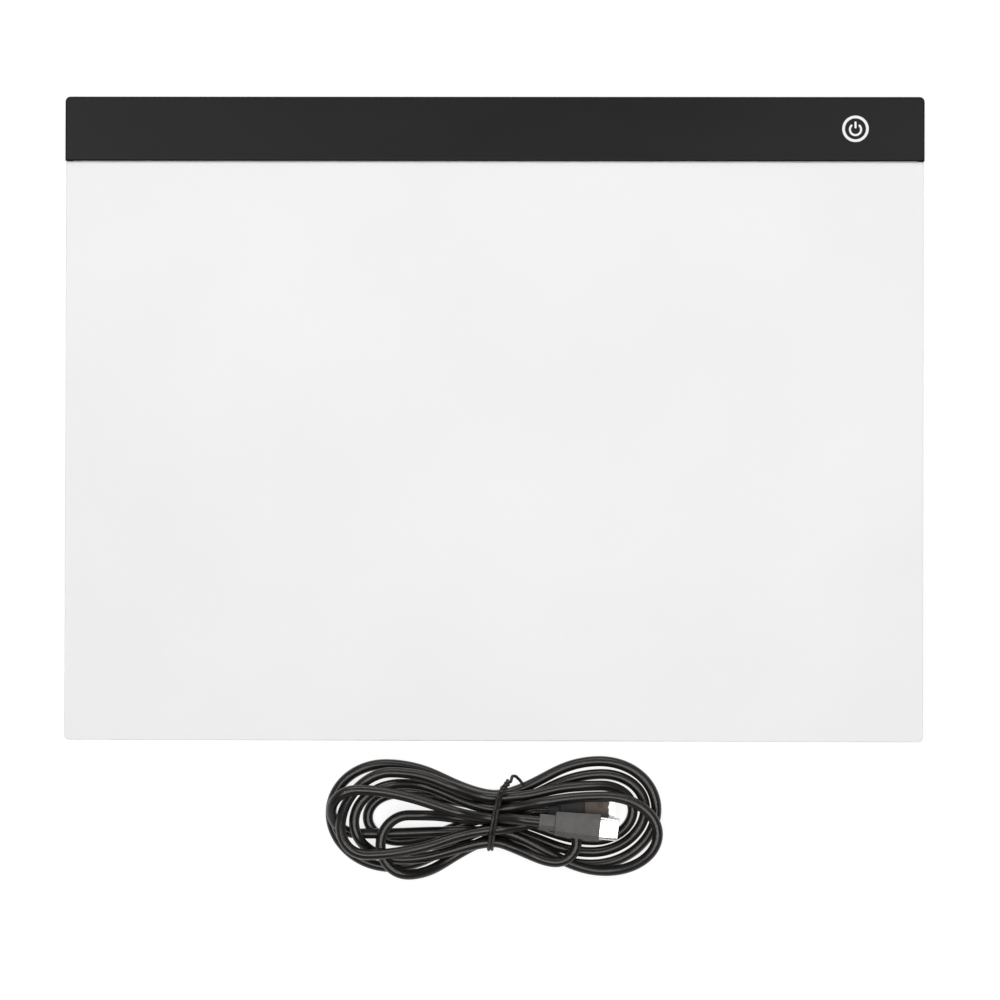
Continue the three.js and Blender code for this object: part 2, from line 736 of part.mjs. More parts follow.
// One lobe: an eased run out to its first crown, half an ellipse round the fold, and an
// eased run back to the waist. The heights ease from one stated layer to the next.
function lobe([side, enter, leave, reach, crownIn, crownOut, first, last, lean, layers]) {
  const plan = [];
  const cIn = crownIn * hankReach;
  const cOut = crownOut * hankReach;
  const vFirst = first * hankReach;
  const vLast = last * hankReach;
  const middle = (vFirst + vLast) / 2;
  const half = (vFirst - vLast) / 2;
  const vEnter = enter[0] * columnPitch;
  const vLeave = leave[0] * columnPitch;
  for (let i = 0; i < runSteps; i += 1) {
    const s = i / runSteps;
    plan.push([cIn * s, vEnter + (vFirst - vEnter) * ease(s ** spreadShare)]);
  }
  const foldReach = reach * hankReach - (cIn + cOut) / 2;
  for (let i = 0; i < foldSteps; i += 1) {
    const angle = (Math.PI * i) / foldSteps;
    plan.push([
      cIn + (cOut - cIn) * ease(i / foldSteps) + foldReach * Math.sin(angle),
      middle + half * Math.cos(angle),
    ]);
  }
  for (let i = 0; i <= runSteps; i += 1) {
    const s = i / runSteps;
    const left = 1 - s;
    plan.push([cOut * left, vLeave + (vLast - vLeave) * ease(left ** spreadShare)]);
  }
  const leaned = plan.map(([u, v]) => {
    const grip = ease(Math.min(u / cIn, 1));
    return [u + ((lean * hankReach * (middle - v)) / Math.abs(half)) * grip, v];
  });
  let total = 0;
  const lengths = leaned.map(([u, v], i) => {
    if (i > 0) total += Math.hypot(u - leaned[i - 1][0], v - leaned[i - 1][1]);
    return total;
  });
  return leaned.map(([u, v], i) => {
    const t = lengths[i] / total;
    let k = 0;
    while (k < layers.length - 2 && t >= layers[k + 1][0]) k += 1;
    const [from, to] = [layers[k], layers[k + 1]];
    const layer = from[1] + (to[1] - from[1]) * ease((t - from[0]) / (to[0] - from[0]));
    return new THREE.Vector3(side * u, v, layerHeight(layer, u));
  });
}

// From a slot at the waist to a plug: level at both ends, and square to the plug.
function plugRun(column, layer, plug) {
  const run = plug.rear[0] - cordDiameter;
  const aim = plug.rear[1] - plug.slope * cordDiameter;
  const low = layerHeight(layer, 0);
  const v0 = column * columnPitch;
  const points = [];
  for (let i = 0; i < plugSteps; i += 1) {
    const s = i / plugSteps;
    const hermite = (2 * s ** 3 - 3 * s ** 2 + 1) * v0 + (3 * s ** 2 - 2 * s ** 3) * aim
      + (s ** 3 - s ** 2) * plug.slope * run;
    const z = low + (plug.height - low) * ease(s ** plug.lateShare);
    points.push(new THREE.Vector3(run * s, hermite, z));
  }
  points.push(new THREE.Vector3(run, aim, plug.height));
  points.push(new THREE.Vector3(...plug.rear, plug.height));
  return points;
}

function cordRoute() {
  const points = plugRun(0, 2, plugA).reverse();
  lobeShares.forEach((row) => points.push(...lobe(row).slice(1)));
  points.push(...plugRun(0, 3, plugC).slice(1));
  return points;
}

const route = cordRoute();
const hank = new THREE.Group();
hank.position.set(hankOffset, -halfDepth - hankFromPad, 0);
group.add(hank);

// A wire's length, and its least clear distance to itself, on points along its route.
function measure(name, points, diameter, skip) {
  const fine = [];
  let length = 0;
  for (let i = 1; i < points.length; i += 1) {
    const stretch = points[i].distanceTo(points[i - 1]);
    const steps = Math.ceil(stretch / measureStep);
    for (let k = 0; k < steps; k += 1) {
      const share = k / steps;
      const point = points[i - 1].clone().lerp(points[i], share);
      fine.push([point.x, point.y, point.z, length + share * stretch]);
    }
    length += stretch;
  }
  let least = Infinity;
  for (let i = 0; i < fine.length; i += 1) {
    for (let j = i + 1; j < fine.length; j += 1) {
      if (fine[j][3] - fine[i][3] > skip) {
        const away = Math.hypot(
          fine[i][0] - fine[j][0], fine[i][1] - fine[j][1], fine[i][2] - fine[j][2],
        );
        least = Math.min(least, away);
      }
    }
  }
  const clear = (least - diameter).toFixed(2);
  console.log(`${name} ${length.toFixed(0)} mm, least gap to itself ${clear} mm of ${leastCordGap} wanted`);
}

measure('cable_hank', route, cordDiameter, measureSkip);
piece('cable_hank', tube(route, cordDiameter, cordSides), blackJacket, hank);

// A section with cut corners, square to the plug's axis.
function cutSection(x, width, height, chamfer) {
  const w = width / 2;
  const h = height / 2;
  return [
    [-w + chamfer, -h], [w - chamfer, -h], [w, -h + chamfer], [w, h - chamfer],
    [w - chamfer, h], [-w + chamfer, h], [-w, h - chamfer], [-w, -h + chamfer],
  ].map(([y, z]) => new THREE.Vector3(x, y, z));
}

// Moulded grip: a short neck over the cord, then the tapered body with cut corners.
function plugBody(plug) {
  const { neckLength, neckWidth, neckHeight, bodyLength, rearWidth, frontWidth } = plug;
  const { bodyHeight, chamfer } = plug;
  const taper = neckTaperShare;
  return loft([
    cutSection(gap, neckWidth * taper, neckHeight * taper, chamfer * taper),
    cutSection(neckLength, neckWidth, neckHeight, chamfer),
    cutSection(neckLength + gap, rearWidth - chamfer / 2, bodyHeight - chamfer / 2, chamfer),
    cutSection(neckLength + chamfer, rearWidth, bodyHeight, chamfer),
    cutSection(neckLength + bodyLength, frontWidth, bodyHeight, chamfer),
  ]);
}

// A bar along X with a slot-shaped or a square section.
function barX(shape, x0, x1) {
  const geometry = new THREE.ExtrudeGeometry(shape, { depth: x1 - x0, bevelEnabled: false });
  return solid(geometry.rotateX(Math.PI / 2).rotateZ(Math.PI / 2).translate(x0, 0, 0));
}

function squareShape(width, height, radius) {
  return plate(-width / 2, width / 2, -height / 2, height / 2, radius, radius);
}

function plugGroup(plug) {
  const holder = new THREE.Group();
  holder.position.set(...plug.rear, plug.height);
  holder.rotation.z = Math.atan(plug.slope);
  hank.add(holder);
  return holder;
}

const holderC = plugGroup(plugC);
const frontC = plugC.neckLength + plugC.bodyLength;
const boreC = [
  plugC.shellWidth - 2 * plugC.shellWall, plugC.shellHeight - 2 * plugC.shellWall,
];
piece('usb_c_grip', plugBody(plugC), gripPlastic, holderC);
piece('usb_c_shell', geometryOf(
  barX(slotShape(plugC.shellWidth, plugC.shellHeight), frontC, frontC + plugC.shellLength)
    .subtract(barX(slotShape(...boreC), frontC - overrun, frontC + plugC.shellLength + overrun)),
), steel, holderC);
const insertC = [boreC[0] - gap, boreC[1] - gap];
const slotC = [insertC[0] - 2 * plugC.insertWall, insertC[1] - 2 * plugC.insertWall];
piece('usb_c_insert', geometryOf(
  barX(slotShape(...insertC), frontC, frontC + plugC.shellLength - plugC.insertSetback)
    .subtract(barX(slotShape(...slotC), frontC + overrun, frontC + plugC.shellLength + overrun)),
), darkResin, holderC);

const holderA = plugGroup(plugA);
const frontA = plugA.neckLength + plugA.bodyLength;
const wallA = plugA.shellWall;
const boreA = [plugA.shellWidth - 2 * wallA, plugA.shellHeight - 2 * wallA];
piece('usb_a_grip', plugBody(plugA), gripPlastic, holderA);

// The shell of a USB-A plug: a folded steel box with two square windows above and below.
function shellA() {
  const tip = frontA + plugA.shellLength;
  let shell = barX(squareShape(plugA.shellWidth, plugA.shellHeight, wallA), frontA, tip);
  shell = shell.subtract(barX(squareShape(...boreA, 0), frontA - overrun, tip + overrun));
  const x0 = tip - plugA.windowFromTip - plugA.windowLength / 2;
  const z = plugA.shellHeight;
  [-plugA.windowPitch / 2, plugA.windowPitch / 2].forEach((y) => {
    const half = plugA.windowWidth / 2;
    shell = shell.subtract(solid(box(x0, x0 + plugA.windowLength, y - half, y + half, -z, z)));
  });
  return geometryOf(shell);
}

piece('usb_a_shell', shellA(), steel, holderA);
const insertA = barX(
  squareShape(boreA[0] - gap, plugA.insertThickness, 0),
  frontA, frontA + plugA.shellLength - plugA.insertSetback,
).translate([0, 0, (boreA[1] - plugA.insertThickness - gap) / 2]);
piece('usb_a_insert', geometryOf(insertA), darkResin, holderA);

// Where the strand that passes the waist in a slot lies, at a distance along from it.
function strandAt([column, layer], along) {
  const pass = lobeShares.findIndex(([, enter]) => enter[0] === column && enter[1] === layer);
  const count = pass < 0 ? lobeShares.length : pass;
  const waist = plugSteps + 1 + count * (2 * runSteps + foldSteps);
  const way = Math.sign(route[waist + 1].x) === Math.sign(along) ? 1 : -1;
  let i = waist;
  while (Math.abs(route[i + way].x) < Math.abs(along)) i += way;
  const share = (along - route[i].x) / (route[i + way].x - route[i].x);
  return route[i].clone().lerp(route[i + way], share);
}

// Twisted tie: one wire. It goes twice round the waist, along the hull of the strands and
// a clearance away from them, and its two ends are twisted together beside it.
function tieRoute() {
  const off = cordRadius + tieClearance + tieDiameter / 2;
  const slots = [[0, 3], [-1, 3], [-2, 2], [-2, 1], [2, 1], [2, 2]];
  const places = slots.map(([column, layer]) => [column * columnPitch, layerHeight(layer, 0)]);
  const normals = places.map(([v, w], i) => {
    const [nextV, nextW] = places[(i + 1) % places.length];
    return Math.atan2(v - nextV, nextW - w);
  });
  const wrap = [];
  const count = tieTurns * slots.length * (tieArcSteps + 1);
  for (let turn = 0; turn < tieTurns; turn += 1) {
    slots.forEach((slot, i) => {
      const from = normals[(i + slots.length - 1) % slots.length];
      const sweep = (normals[i] - from + 2 * Math.PI) % (2 * Math.PI);
      for (let k = 0; k <= tieArcSteps; k += 1) {
        const share = wrap.length / (count - 1);
        const angle = from + (sweep * k) / tieArcSteps;
        const along = tieOffset + tieTurnPitch * tieTurns * (share - 0.5)
          + tieSlantShare * (places[i][0] + off * Math.cos(angle));
        const strand = strandAt(slot, along);
        wrap.push(strand.add(new THREE.Vector3(0, off * Math.cos(angle), off * Math.sin(angle))));
      }
    });
  }
  const start = new THREE.Vector3(...twistStart);
  const end = new THREE.Vector3(...twistEnd);
  const axis = end.clone().sub(start).normalize();
  const side = axis.clone().cross(new THREE.Vector3(0, 0, 1)).normalize();
  const up = side.clone().cross(axis);
  const strand = (phase) => Array.from({ length: twistSteps + 1 }, (_, k) => {
    const share = k / twistSteps;
    const angle = phase - 2 * Math.PI * twistTurns * share;
    return start.clone().lerp(end, share)
      .addScaledVector(side, twistRadius * Math.cos(angle))
      .addScaledVector(up, twistRadius * Math.sin(angle));
  });
  const tail = tieTail.map((point) => new THREE.Vector3(...point));
  return [...strand(Math.PI).reverse(), ...wrap, ...strand(0), ...tail];
}

const tiePoints = tieRoute();
measure('twist_tie', tiePoints, tieDiameter, tieMeasureSkip);
piece('twist_tie', tube(tiePoints, tieDiameter, tieSides), blackJacket, hank);

export default group;
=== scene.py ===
"""The looks of an LED tracing pad and its lead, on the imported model. Lengths are in mm."""
import math

import bmesh
import bpy
import numpy as np
from mathutils import Matrix, Vector


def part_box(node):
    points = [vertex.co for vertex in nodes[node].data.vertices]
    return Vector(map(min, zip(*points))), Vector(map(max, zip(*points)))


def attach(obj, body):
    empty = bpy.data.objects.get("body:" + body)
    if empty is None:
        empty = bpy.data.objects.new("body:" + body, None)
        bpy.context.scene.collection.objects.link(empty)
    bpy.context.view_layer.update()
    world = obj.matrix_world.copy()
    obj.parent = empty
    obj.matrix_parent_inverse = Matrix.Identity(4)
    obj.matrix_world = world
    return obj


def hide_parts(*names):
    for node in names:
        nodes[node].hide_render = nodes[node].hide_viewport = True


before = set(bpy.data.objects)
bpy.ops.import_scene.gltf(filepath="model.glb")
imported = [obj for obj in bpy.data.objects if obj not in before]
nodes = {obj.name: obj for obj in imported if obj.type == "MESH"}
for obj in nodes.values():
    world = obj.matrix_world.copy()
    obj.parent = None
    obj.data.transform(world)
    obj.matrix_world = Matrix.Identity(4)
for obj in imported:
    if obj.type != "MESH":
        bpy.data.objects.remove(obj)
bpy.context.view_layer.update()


# The view: straight down on the pad and its lead, from about a metre and a half, as a
# product is photographed on a white table. The lens takes in a square of 368 mm.
MM = 0.001
view_width = 367.65
view_distance = 1500.0
view_aim = np.array([2.32, -29.74, 0.0])
view_lean = np.radians([1.0, -0.7])
view_roll = math.radians(0.14)
view_sensor = 36.0

camera_data = bpy.data.cameras.new("view")
camera_data.sensor_width = view_sensor
camera_data.lens = view_sensor * view_distance / view_width
camera_data.clip_start = 0.01
camera_data.clip_end = 20.0
camera = bpy.data.objects.new("view", camera_data)
bpy.context.scene.collection.objects.link(camera)
bpy.context.scene.camera = camera


def aimed(place, target, upward=(0.0, 1.0, 0.0)):
    """A matrix that stands at a place and looks at a target, both in mm, with its own
    upward side as near to the given direction as the look allows."""
    back = Vector(place) - Vector(target)
    back.normalize()
    right = Vector(upward).cross(back).normalized()
    turn = Matrix((right, back.cross(right), back)).transposed().to_4x4()
    return Matrix.Translation(Vector(place) * MM) @ turn


view_place = view_aim + view_distance * np.array([
    math.sin(view_lean[0]), math.sin(view_lean[1]),
    math.sqrt(1 - math.sin(view_lean[0]) ** 2 - math.sin(view_lean[1]) ** 2),
])
camera.matrix_world = aimed(view_place, view_aim,
                            (-math.sin(view_roll), math.cos(view_roll), 0.0))


# The table and the light: a white table that keeps the shadows, a soft lamp overhead, a
# narrow one at each side, which shines in the ends of the black strip, and a wide one at
# the rear, at a level where a colour renders about as it is written.
class Level:
    """A number or a colour that varies over a surface. Sums on it add Math nodes."""

    def __init__(self, finish, socket):
        self.finish = finish
        self.socket = socket

    def sum(self, operation, first, second):
        return self.finish.node("Math", {"operation": operation}, {0: first, 1: second})

    def __add__(self, other):
        return self.sum("ADD", self, other)

    __radd__ = __add__

    def __sub__(self, other):
        return self.sum("SUBTRACT", self, other)

    def __rsub__(self, other):
        return self.sum("SUBTRACT", other, self)

    def __mul__(self, other):
        return self.sum("MULTIPLY", self, other)

    __rmul__ = __mul__

    def over(self, other):
        """The larger of two levels at each point."""
        return self.sum("MAXIMUM", self, other)

    def between(self, low, high, start=0.0, end=1.0):
        """The level carried from low..high to start..end, and held at both ends."""
        settings = {"clamp": True}
        inputs = {"Value": self, "From Min": low, "From Max": high,
                  "To Min": start, "To Max": end}
        return self.finish.node("MapRange", settings, inputs)


class Finish:
    """A material, or the world, and the nodes that make it."""

    def __init__(self, owner):
        self.owner = owner
        owner.use_nodes = True
        self.tree = owner.node_tree
        self.tree.nodes.clear()

    def node(self, kind, settings=None, inputs=None, out=0):
        """Adds a node of a type, with its settings and then the values or links of its
        sockets, and returns one of its outputs."""
        made = self.tree.nodes.new("ShaderNode" + kind)
        for key, value in (settings or {}).items():
            setattr(made, key, value)
        for key, value in (inputs or {}).items():
            socket = made.inputs[key]
            if isinstance(value, Level):
                self.tree.links.new(value.socket, socket)
            elif socket.type == "RGBA" and not isinstance(value, float):
                socket.default_value = (*value[:3], 1.0)
            else:
                socket.default_value = value
        return Level(self, made.outputs[out])

    def end(self, shade):
        """Leads a shader to the output."""
        is_world = isinstance(self.owner, bpy.types.World)
        kind = "OutputWorld" if is_world else "OutputMaterial"
        last = self.tree.nodes.new("ShaderNode" + kind)
        self.tree.links.new(shade.socket, last.inputs["Surface"])
        return self.owner

    def seen(self):
        """One where the ray comes from the camera, a reflection or a clear piece."""
        ray = [self.node("LightPath", out=name)
               for name in ("Is Camera Ray", "Is Glossy Ray", "Is Transmission Ray")]
        return ray[0].over(ray[1]).over(ray[2])

    def grain(self, size, detail=2.0, stretch=(1.0, 1.0, 1.0), place=None, rough=0.5):
        """Noise of a size in mm on the object's own coordinates, from about 0.3 to 0.7."""
        if place is None:
            place = self.node("TexCoord", out="Object")
        turned = self.node("Mapping", {"vector_type": "POINT"},
                           {"Vector": place, "Scale": stretch})
        return self.node("TexNoise", {"noise_dimensions": "3D"}, {
            "Vector": turned, "Scale": 1.0 / (size * MM), "Detail": detail,
            "Roughness": rough,
        })

    def along(self, axis):
        """The place on the object along an axis, in metres."""
        return self.node("SeparateXYZ", {}, {"Vector": self.node("TexCoord", out="Object")},
                         out=axis)

    def tint(self, share, low, high):
        """A colour between two, by a share."""
        return self.node("Mix", {"data_type": "RGBA"}, {0: share, 6: low, 7: high}, out=2)

    def relief(self, height, depth, strength=1.0):
        """A normal that follows a height of 0 to 1, over a depth in mm."""
        return self.node("Bump", {}, {"Height": height, "Distance": depth * MM,
                                      "Strength": strength})

    def surface(self, sockets):
        """Ends in one shader whose sockets are given by name."""
        return self.end(self.node("BsdfPrincipled", {}, sockets))


def finish_for(name):
    """A new material, with nothing in it yet."""
    return Finish(bpy.data.materials.new(name))


def table_white():
    """White all round where it is seen, and a plain pale table for all other light. Near
    the pad it also takes the shadows; far off, where the lamps fade, it is plain white.
    The two are mixed by the distance from the middle, between two radii in metres."""
    near_radius, far_radius = 0.6, 1.4
    glow, matt = 0.82, 0.27
    finish = finish_for("table_white")
    plain = finish.node("BsdfDiffuse", {}, {"Color": (0.8, 0.8, 0.8)})
    bright = finish.node("Emission", {}, {"Color": (1.0, 1.0, 1.0), "Strength": glow})
    shaded = finish.node("BsdfDiffuse", {}, {"Color": (matt, matt, matt)})
    near = finish.node("AddShader", {}, {0: bright, 1: shaded})
    far = finish.node("Emission", {}, {"Color": (1.0, 1.0, 1.0), "Strength": 1.0})
    away = finish.node("VectorMath", {"operation": "LENGTH"},
                       {0: finish.node("TexCoord", out="Object")}, out="Value")
    white = finish.node("MixShader", {},
                        {0: away.between(near_radius, far_radius), 1: near, 2: far})
    return finish.end(finish.node("MixShader", {}, {0: finish.seen(), 1: plain, 2: white}))


table_half = 3000.0
table_mesh = bpy.data.meshes.new("table")
table_mesh.from_pydata(
    [(x * table_half * MM, y * table_half * MM, 0.0) for x, y in
     ((-1, -1), (1, -1), (1, 1), (-1, 1))], [], [(0, 1, 2, 3)])
table_mesh.materials.append(table_white())
table = bpy.data.objects.new("table", table_mesh)
bpy.context.scene.collection.objects.link(table)

# The room is white to the camera. In reflections it is white at the horizon and dim from
# 20 degrees up, and for all other light it is dim.
horizon, overhead, other_light = 1.0, 0.2, 0.18
world = Finish(bpy.data.worlds.new("white_room"))
skyward = world.node("SeparateXYZ", {}, {"Vector": world.node("TexCoord", out="Generated")},
                     out="Z")
backdrop = skyward.between(0.02, 0.35, horizon, overhead).over(
    world.node("LightPath", out="Is Camera Ray"))
walls = world.node("Background", {}, {"Color": (1.0, 1.0, 1.0), "Strength": backdrop})
room = world.node("Background", {}, {"Color": (1.0, 1.0, 1.0), "Strength": other_light})
bpy.context.scene.world = world.end(
    world.node("MixShader", {}, {0: world.seen(), 1: room, 2: walls}))
bpy.context.scene.view_settings.view_transform = "Standard"


def lamp(name, place, size, radiance):
    """A soft lamp aimed at the middle of the view. Its power is its radiance times pi
    times its area."""
    data = bpy.data.lights.new(name, "AREA")
    data.shape = "RECTANGLE"
    data.size, data.size_y = size[0] * MM, size[1] * MM
    data.energy = radiance * math.pi * data.size * data.size_y
    lamp_object = bpy.data.objects.new(name, data)
    lamp_object.matrix_world = aimed(place, view_aim)
    lamp_object.visible_camera = False
    bpy.context.scene.collection.objects.link(lamp_object)


lamp("lamp_overhead", (0.0, -420.0, 1700.0), (800.0, 640.0), 5.7)
lamp("lamp_left", (-530.0, 100.0, 1600.0), (120.0, 1000.0), 17.5)
lamp("lamp_right", (540.0, 100.0, 1600.0), (120.0, 1000.0), 16.0)
lamp("lamp_rear", (0.0, 1500.0, 850.0), (1200.0, 400.0), 6.5)


# The lead: about 1.37 m of thin round cable in a soft black jacket, wound to and fro by
# hand into a hank of eleven loops that cross at the waist, where they lie in three layers.
cord = {"diameter": 3.8, "column": 4.4, "layer": 4.5, "lift": 1.5, "spread": 9.0,
        "reach": 60.4, "share": 0.85, "run_points": 60, "fold_points": 140,
        "ring_pitch": 0.75, "eased": 12, "sides": 18, "into_grip": 0.8,
        "squeeze": 0.085, "slip": -0.9, "slip_depth": 3.0, "drawn": 20.0, "release": 6.0}
hank_place = np.array([0.9, -145.9, 0.0])
# Each loop's row: its side, the column and layer where it enters and leaves the waist, its
# reach, the fold's start at each end, the fold's two edges, its lean, and its layers by
# share of its length. Reach, fold and edges are shares of the hank's own reach.
loops = [
    (-1, (0, 2), (-2, 1), 0.69, 0.519, 0.519, 0.016, -0.344, 0.0,
     ((0, 2), (0.12, 2.1), (0.3, 3), (0.6, 3), (0.84, 1.15), (1, 1))),
    (1, (-2, 1), (2, 1), 0.977, 0.584, 0.633, -0.289, 0.338, 0.0, ((0, 1), (1, 1))),
    (-1, (2, 1), (-1, 1), 1.0, 0.666, 0.633, 0.315, -0.308, 0.0, ((0, 1), (1, 1))),
    (1, (-1, 1), (1, 1), 0.908, 0.584, 0.649, -0.214, 0.26, 0.0, ((0, 1), (1, 1))),
    (-1, (1, 1), (0, 1), 0.775, 0.584, 0.584, 0.138, -0.15, 0.0, ((0, 1), (1, 1))),
    (1, (0, 1), (2, 2), 0.834, 0.601, 0.64, -0.141, 0.193, 0.0,
     ((0, 1), (0.5, 1), (0.75, 2), (1, 2))),
    (-1, (2, 2), (-1, 3), 0.918, 0.698, 0.698, 0.274, -0.218, 0.068,
     ((0, 2), (0.14, 3), (0.4, 3), (0.58, 4.1), (0.8, 4), (1, 3))),
    (1, (-1, 3), (-2, 2), 0.495, 0.357, 0.357, -0.021, -0.269, 0.0,
     ((0, 3), (0.15, 2.75), (0.7, 3), (1, 2))),
    (-1, (-2, 2), (1, 2), 0.85, 0.568, 0.568, -0.256, 0.203, 0.0,
     ((0, 2), (0.36, 2), (0.46, 3), (0.62, 3), (0.8, 2), (1, 2))),
    (1, (1, 2), (-1, 2), 0.984, 0.666, 0.666, 0.133, -0.321, 0.0,
     ((0, 2), (0.15, 3), (0.5, 3), (0.72, 2), (1, 2))),
    (-1, (-1, 2), (0, 3), 0.987, 0.828, 0.828, -0.101, 0.172, 0.0,
     ((0, 2), (0.42, 2), (0.57, 4.2), (0.88, 4.1), (1, 3))),
]
plug_a = {"rear": (19.0, 1.9), "height": 3.8, "slope": 0.0, "late": 1.3}
plug_c = {"rear": (15.9, -0.9), "height": 16.2, "slope": -0.1, "late": 0.9}


def ease(share):
    """Half a cosine wave from 0 to 1."""
    return (1 - np.cos(np.pi * share)) / 2


def run_of(path):
    """The length along a path up to each of its points."""
    steps = np.linalg.norm(np.diff(path, axis=0), axis=1)
    return np.concatenate([[0], np.cumsum(steps)])


def layer_height(layer, along):
    """The middle of a strand in a layer, lifted near the waist by a bell-shaped hump."""
    hump = cord["lift"] * np.exp(-(along / cord["spread"]) ** 2)
    return cord["diameter"] / 2 + (layer - 1) * cord["layer"] + hump


def loop_route(side, enter, leave, reach, crown_in, crown_out, first, last, lean, layers):
    """One loop of the hank: an eased run out from the waist, half an ellipse round the
    fold, and an eased run back. Its height eases between the layers by length in plan."""
    size = cord["reach"]
    out_in, out_back = crown_in * size, crown_out * size
    v_first, v_last = first * size, last * size
    v_enter, v_leave = enter[0] * cord["column"], leave[0] * cord["column"]
    middle, half = (v_first + v_last) / 2, (v_first - v_last) / 2
    s = np.linspace(0, 1, cord["run_points"], endpoint=False)
    run_out = np.stack([out_in * s,
                        v_enter + (v_first - v_enter) * ease(s ** cord["share"])])
    t = np.linspace(0, 1, cord["fold_points"], endpoint=False)
    far = reach * size - (out_in + out_back) / 2
    fold = np.stack([out_in + (out_back - out_in) * ease(t) + far * np.sin(np.pi * t),
                     middle + half * np.cos(np.pi * t)])
    left = np.linspace(1, 0, cord["run_points"] + 1)
    run_back = np.stack([out_back * left,
                         v_leave + (v_last - v_leave) * ease(left ** cord["share"])])
    u, v = np.concatenate([run_out, fold, run_back], axis=1)
    grip = ease(np.minimum(u / out_in, 1))
    u = u + lean * size * (middle - v) / abs(half) * grip
    length = run_of(np.stack([u, v], axis=1))
    share = length / length[-1]
    stations, heights = np.array(layers, float).T
    k = np.clip(np.searchsorted(stations, share, side="right") - 1, 0, len(stations) - 2)
    part = (share - stations[k]) / (stations[k + 1] - stations[k])
    layer = heights[k] + (heights[k + 1] - heights[k]) * ease(part)
    return np.stack([side * u, v, layer_height(layer, u)], axis=1)


def plug_route(layer, plug):
    """From the middle of the waist into a plug's rear: a cubic in plan that leaves level
    and arrives along the plug, an eased climb, and one straight diameter and a little
    more, because the grip is moulded over the cable's end."""
    run = plug["rear"][0] - cord["diameter"]
    aim = plug["rear"][1] - plug["slope"] * cord["diameter"]
    low = layer_height(layer, 0.0)
    s = np.linspace(0, 1, cord["run_points"], endpoint=False)
    v = (3 * s ** 2 - 2 * s ** 3) * aim + (s ** 3 - s ** 2) * plug["slope"] * run
    z = low + (plug["height"] - low) * ease(s ** plug["late"])
    curved = np.stack([run * s, v, z], axis=1)
    end = plug["rear"] + cord["into_grip"] * np.array([1.0, plug["slope"]])
    straight = np.array([(run, aim, plug["height"]), (*end, plug["height"])])
    return np.concatenate([curved, straight])


def drawn_in(route, rear=None):
    """The strands as the tie draws them together: a flat-topped bell over the waist
    narrows them, and slips the middle layer sideways under the gaps of the others. The
    pull fades before a plug's rear, so that the plug stays where it lies."""
    x, v, z = route.T
    pull = np.exp(-(x / cord["drawn"]) ** 4)
    if rear is not None:
        pull = pull * ease(np.clip((rear - cord["diameter"] - x) / cord["release"], 0, 1))
    off_middle = (z - layer_height(2, x)) / cord["slip_depth"]
    v = (v * (1 - cord["squeeze"] * pull)
         + cord["slip"] * pull * np.exp(-off_middle ** 2))
    return np.stack([x, v, z], axis=1)


def evenly(route, pitch):
    """The same route with points at an even pitch along its length."""
    length = run_of(route)
    places = np.linspace(0, length[-1], int(round(length[-1] / pitch)) + 1)
    return np.stack([np.interp(places, length, part) for part in route.T], axis=1)


def faired(route, pitch, rounds):
    """The route at an even pitch with its corners eased. At a third of the pitch each
    inner point is moved, in rounds, to the weighted middle of itself and its neighbours."""
    route = evenly(route, pitch / 3)
    for _ in range(rounds):
        route[1:-1] = (route[:-2] + 2 * route[1:-1] + route[2:]) / 4
    return evenly(route, pitch)


def carry(route, profile):
    """Carries a profile, a list of (side, up) pairs, along a route. Each ring's axes are
    square to the route's tangent, and to an upward direction that no route follows.
    They are turned back by the sum of the small turns between neighbours, so that
    nothing twists."""
    upward = (0.12, 0.07, 1.0)
    along = np.gradient(route, axis=0)
    along /= np.linalg.norm(along, axis=1, keepdims=True)
    side = np.cross(along, upward)
    side /= np.linalg.norm(side, axis=1, keepdims=True)
    up = np.cross(side, along)
    carried = side[:-1] - along[1:] * (side[:-1] * along[1:]).sum(1, keepdims=True)
    turn = np.arctan2((carried * up[1:]).sum(1), (carried * side[1:]).sum(1))
    turn = np.concatenate([[0], np.cumsum(turn)])[:, None]
    fair_side = np.cos(turn) * side + np.sin(turn) * up
    fair_up = np.cos(turn) * up - np.sin(turn) * side
    return (route[:, None] + profile[:, :1] * fair_side[:, None]
            + profile[:, 1:] * fair_up[:, None])


def circle(radius, sides):
    """A ring of points at a radius, as pairs along two axes."""
    angle = np.linspace(0, 2 * np.pi, sides, endpoint=False)
    return radius * np.stack([np.cos(angle), np.sin(angle)], axis=1)


def settle(mesh, material):
    """Smooths a mesh up to a crease angle and stands it in the scene as a piece."""
    crease = math.radians(35.0)
    mesh.shade_smooth()
    mesh.set_sharp_from_angle(angle=crease)
    mesh.materials.clear()
    mesh.materials.append(material)
    piece = bpy.data.objects.new(mesh.name, mesh)
    bpy.context.scene.collection.objects.link(piece)
    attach(piece, "root")
    return piece


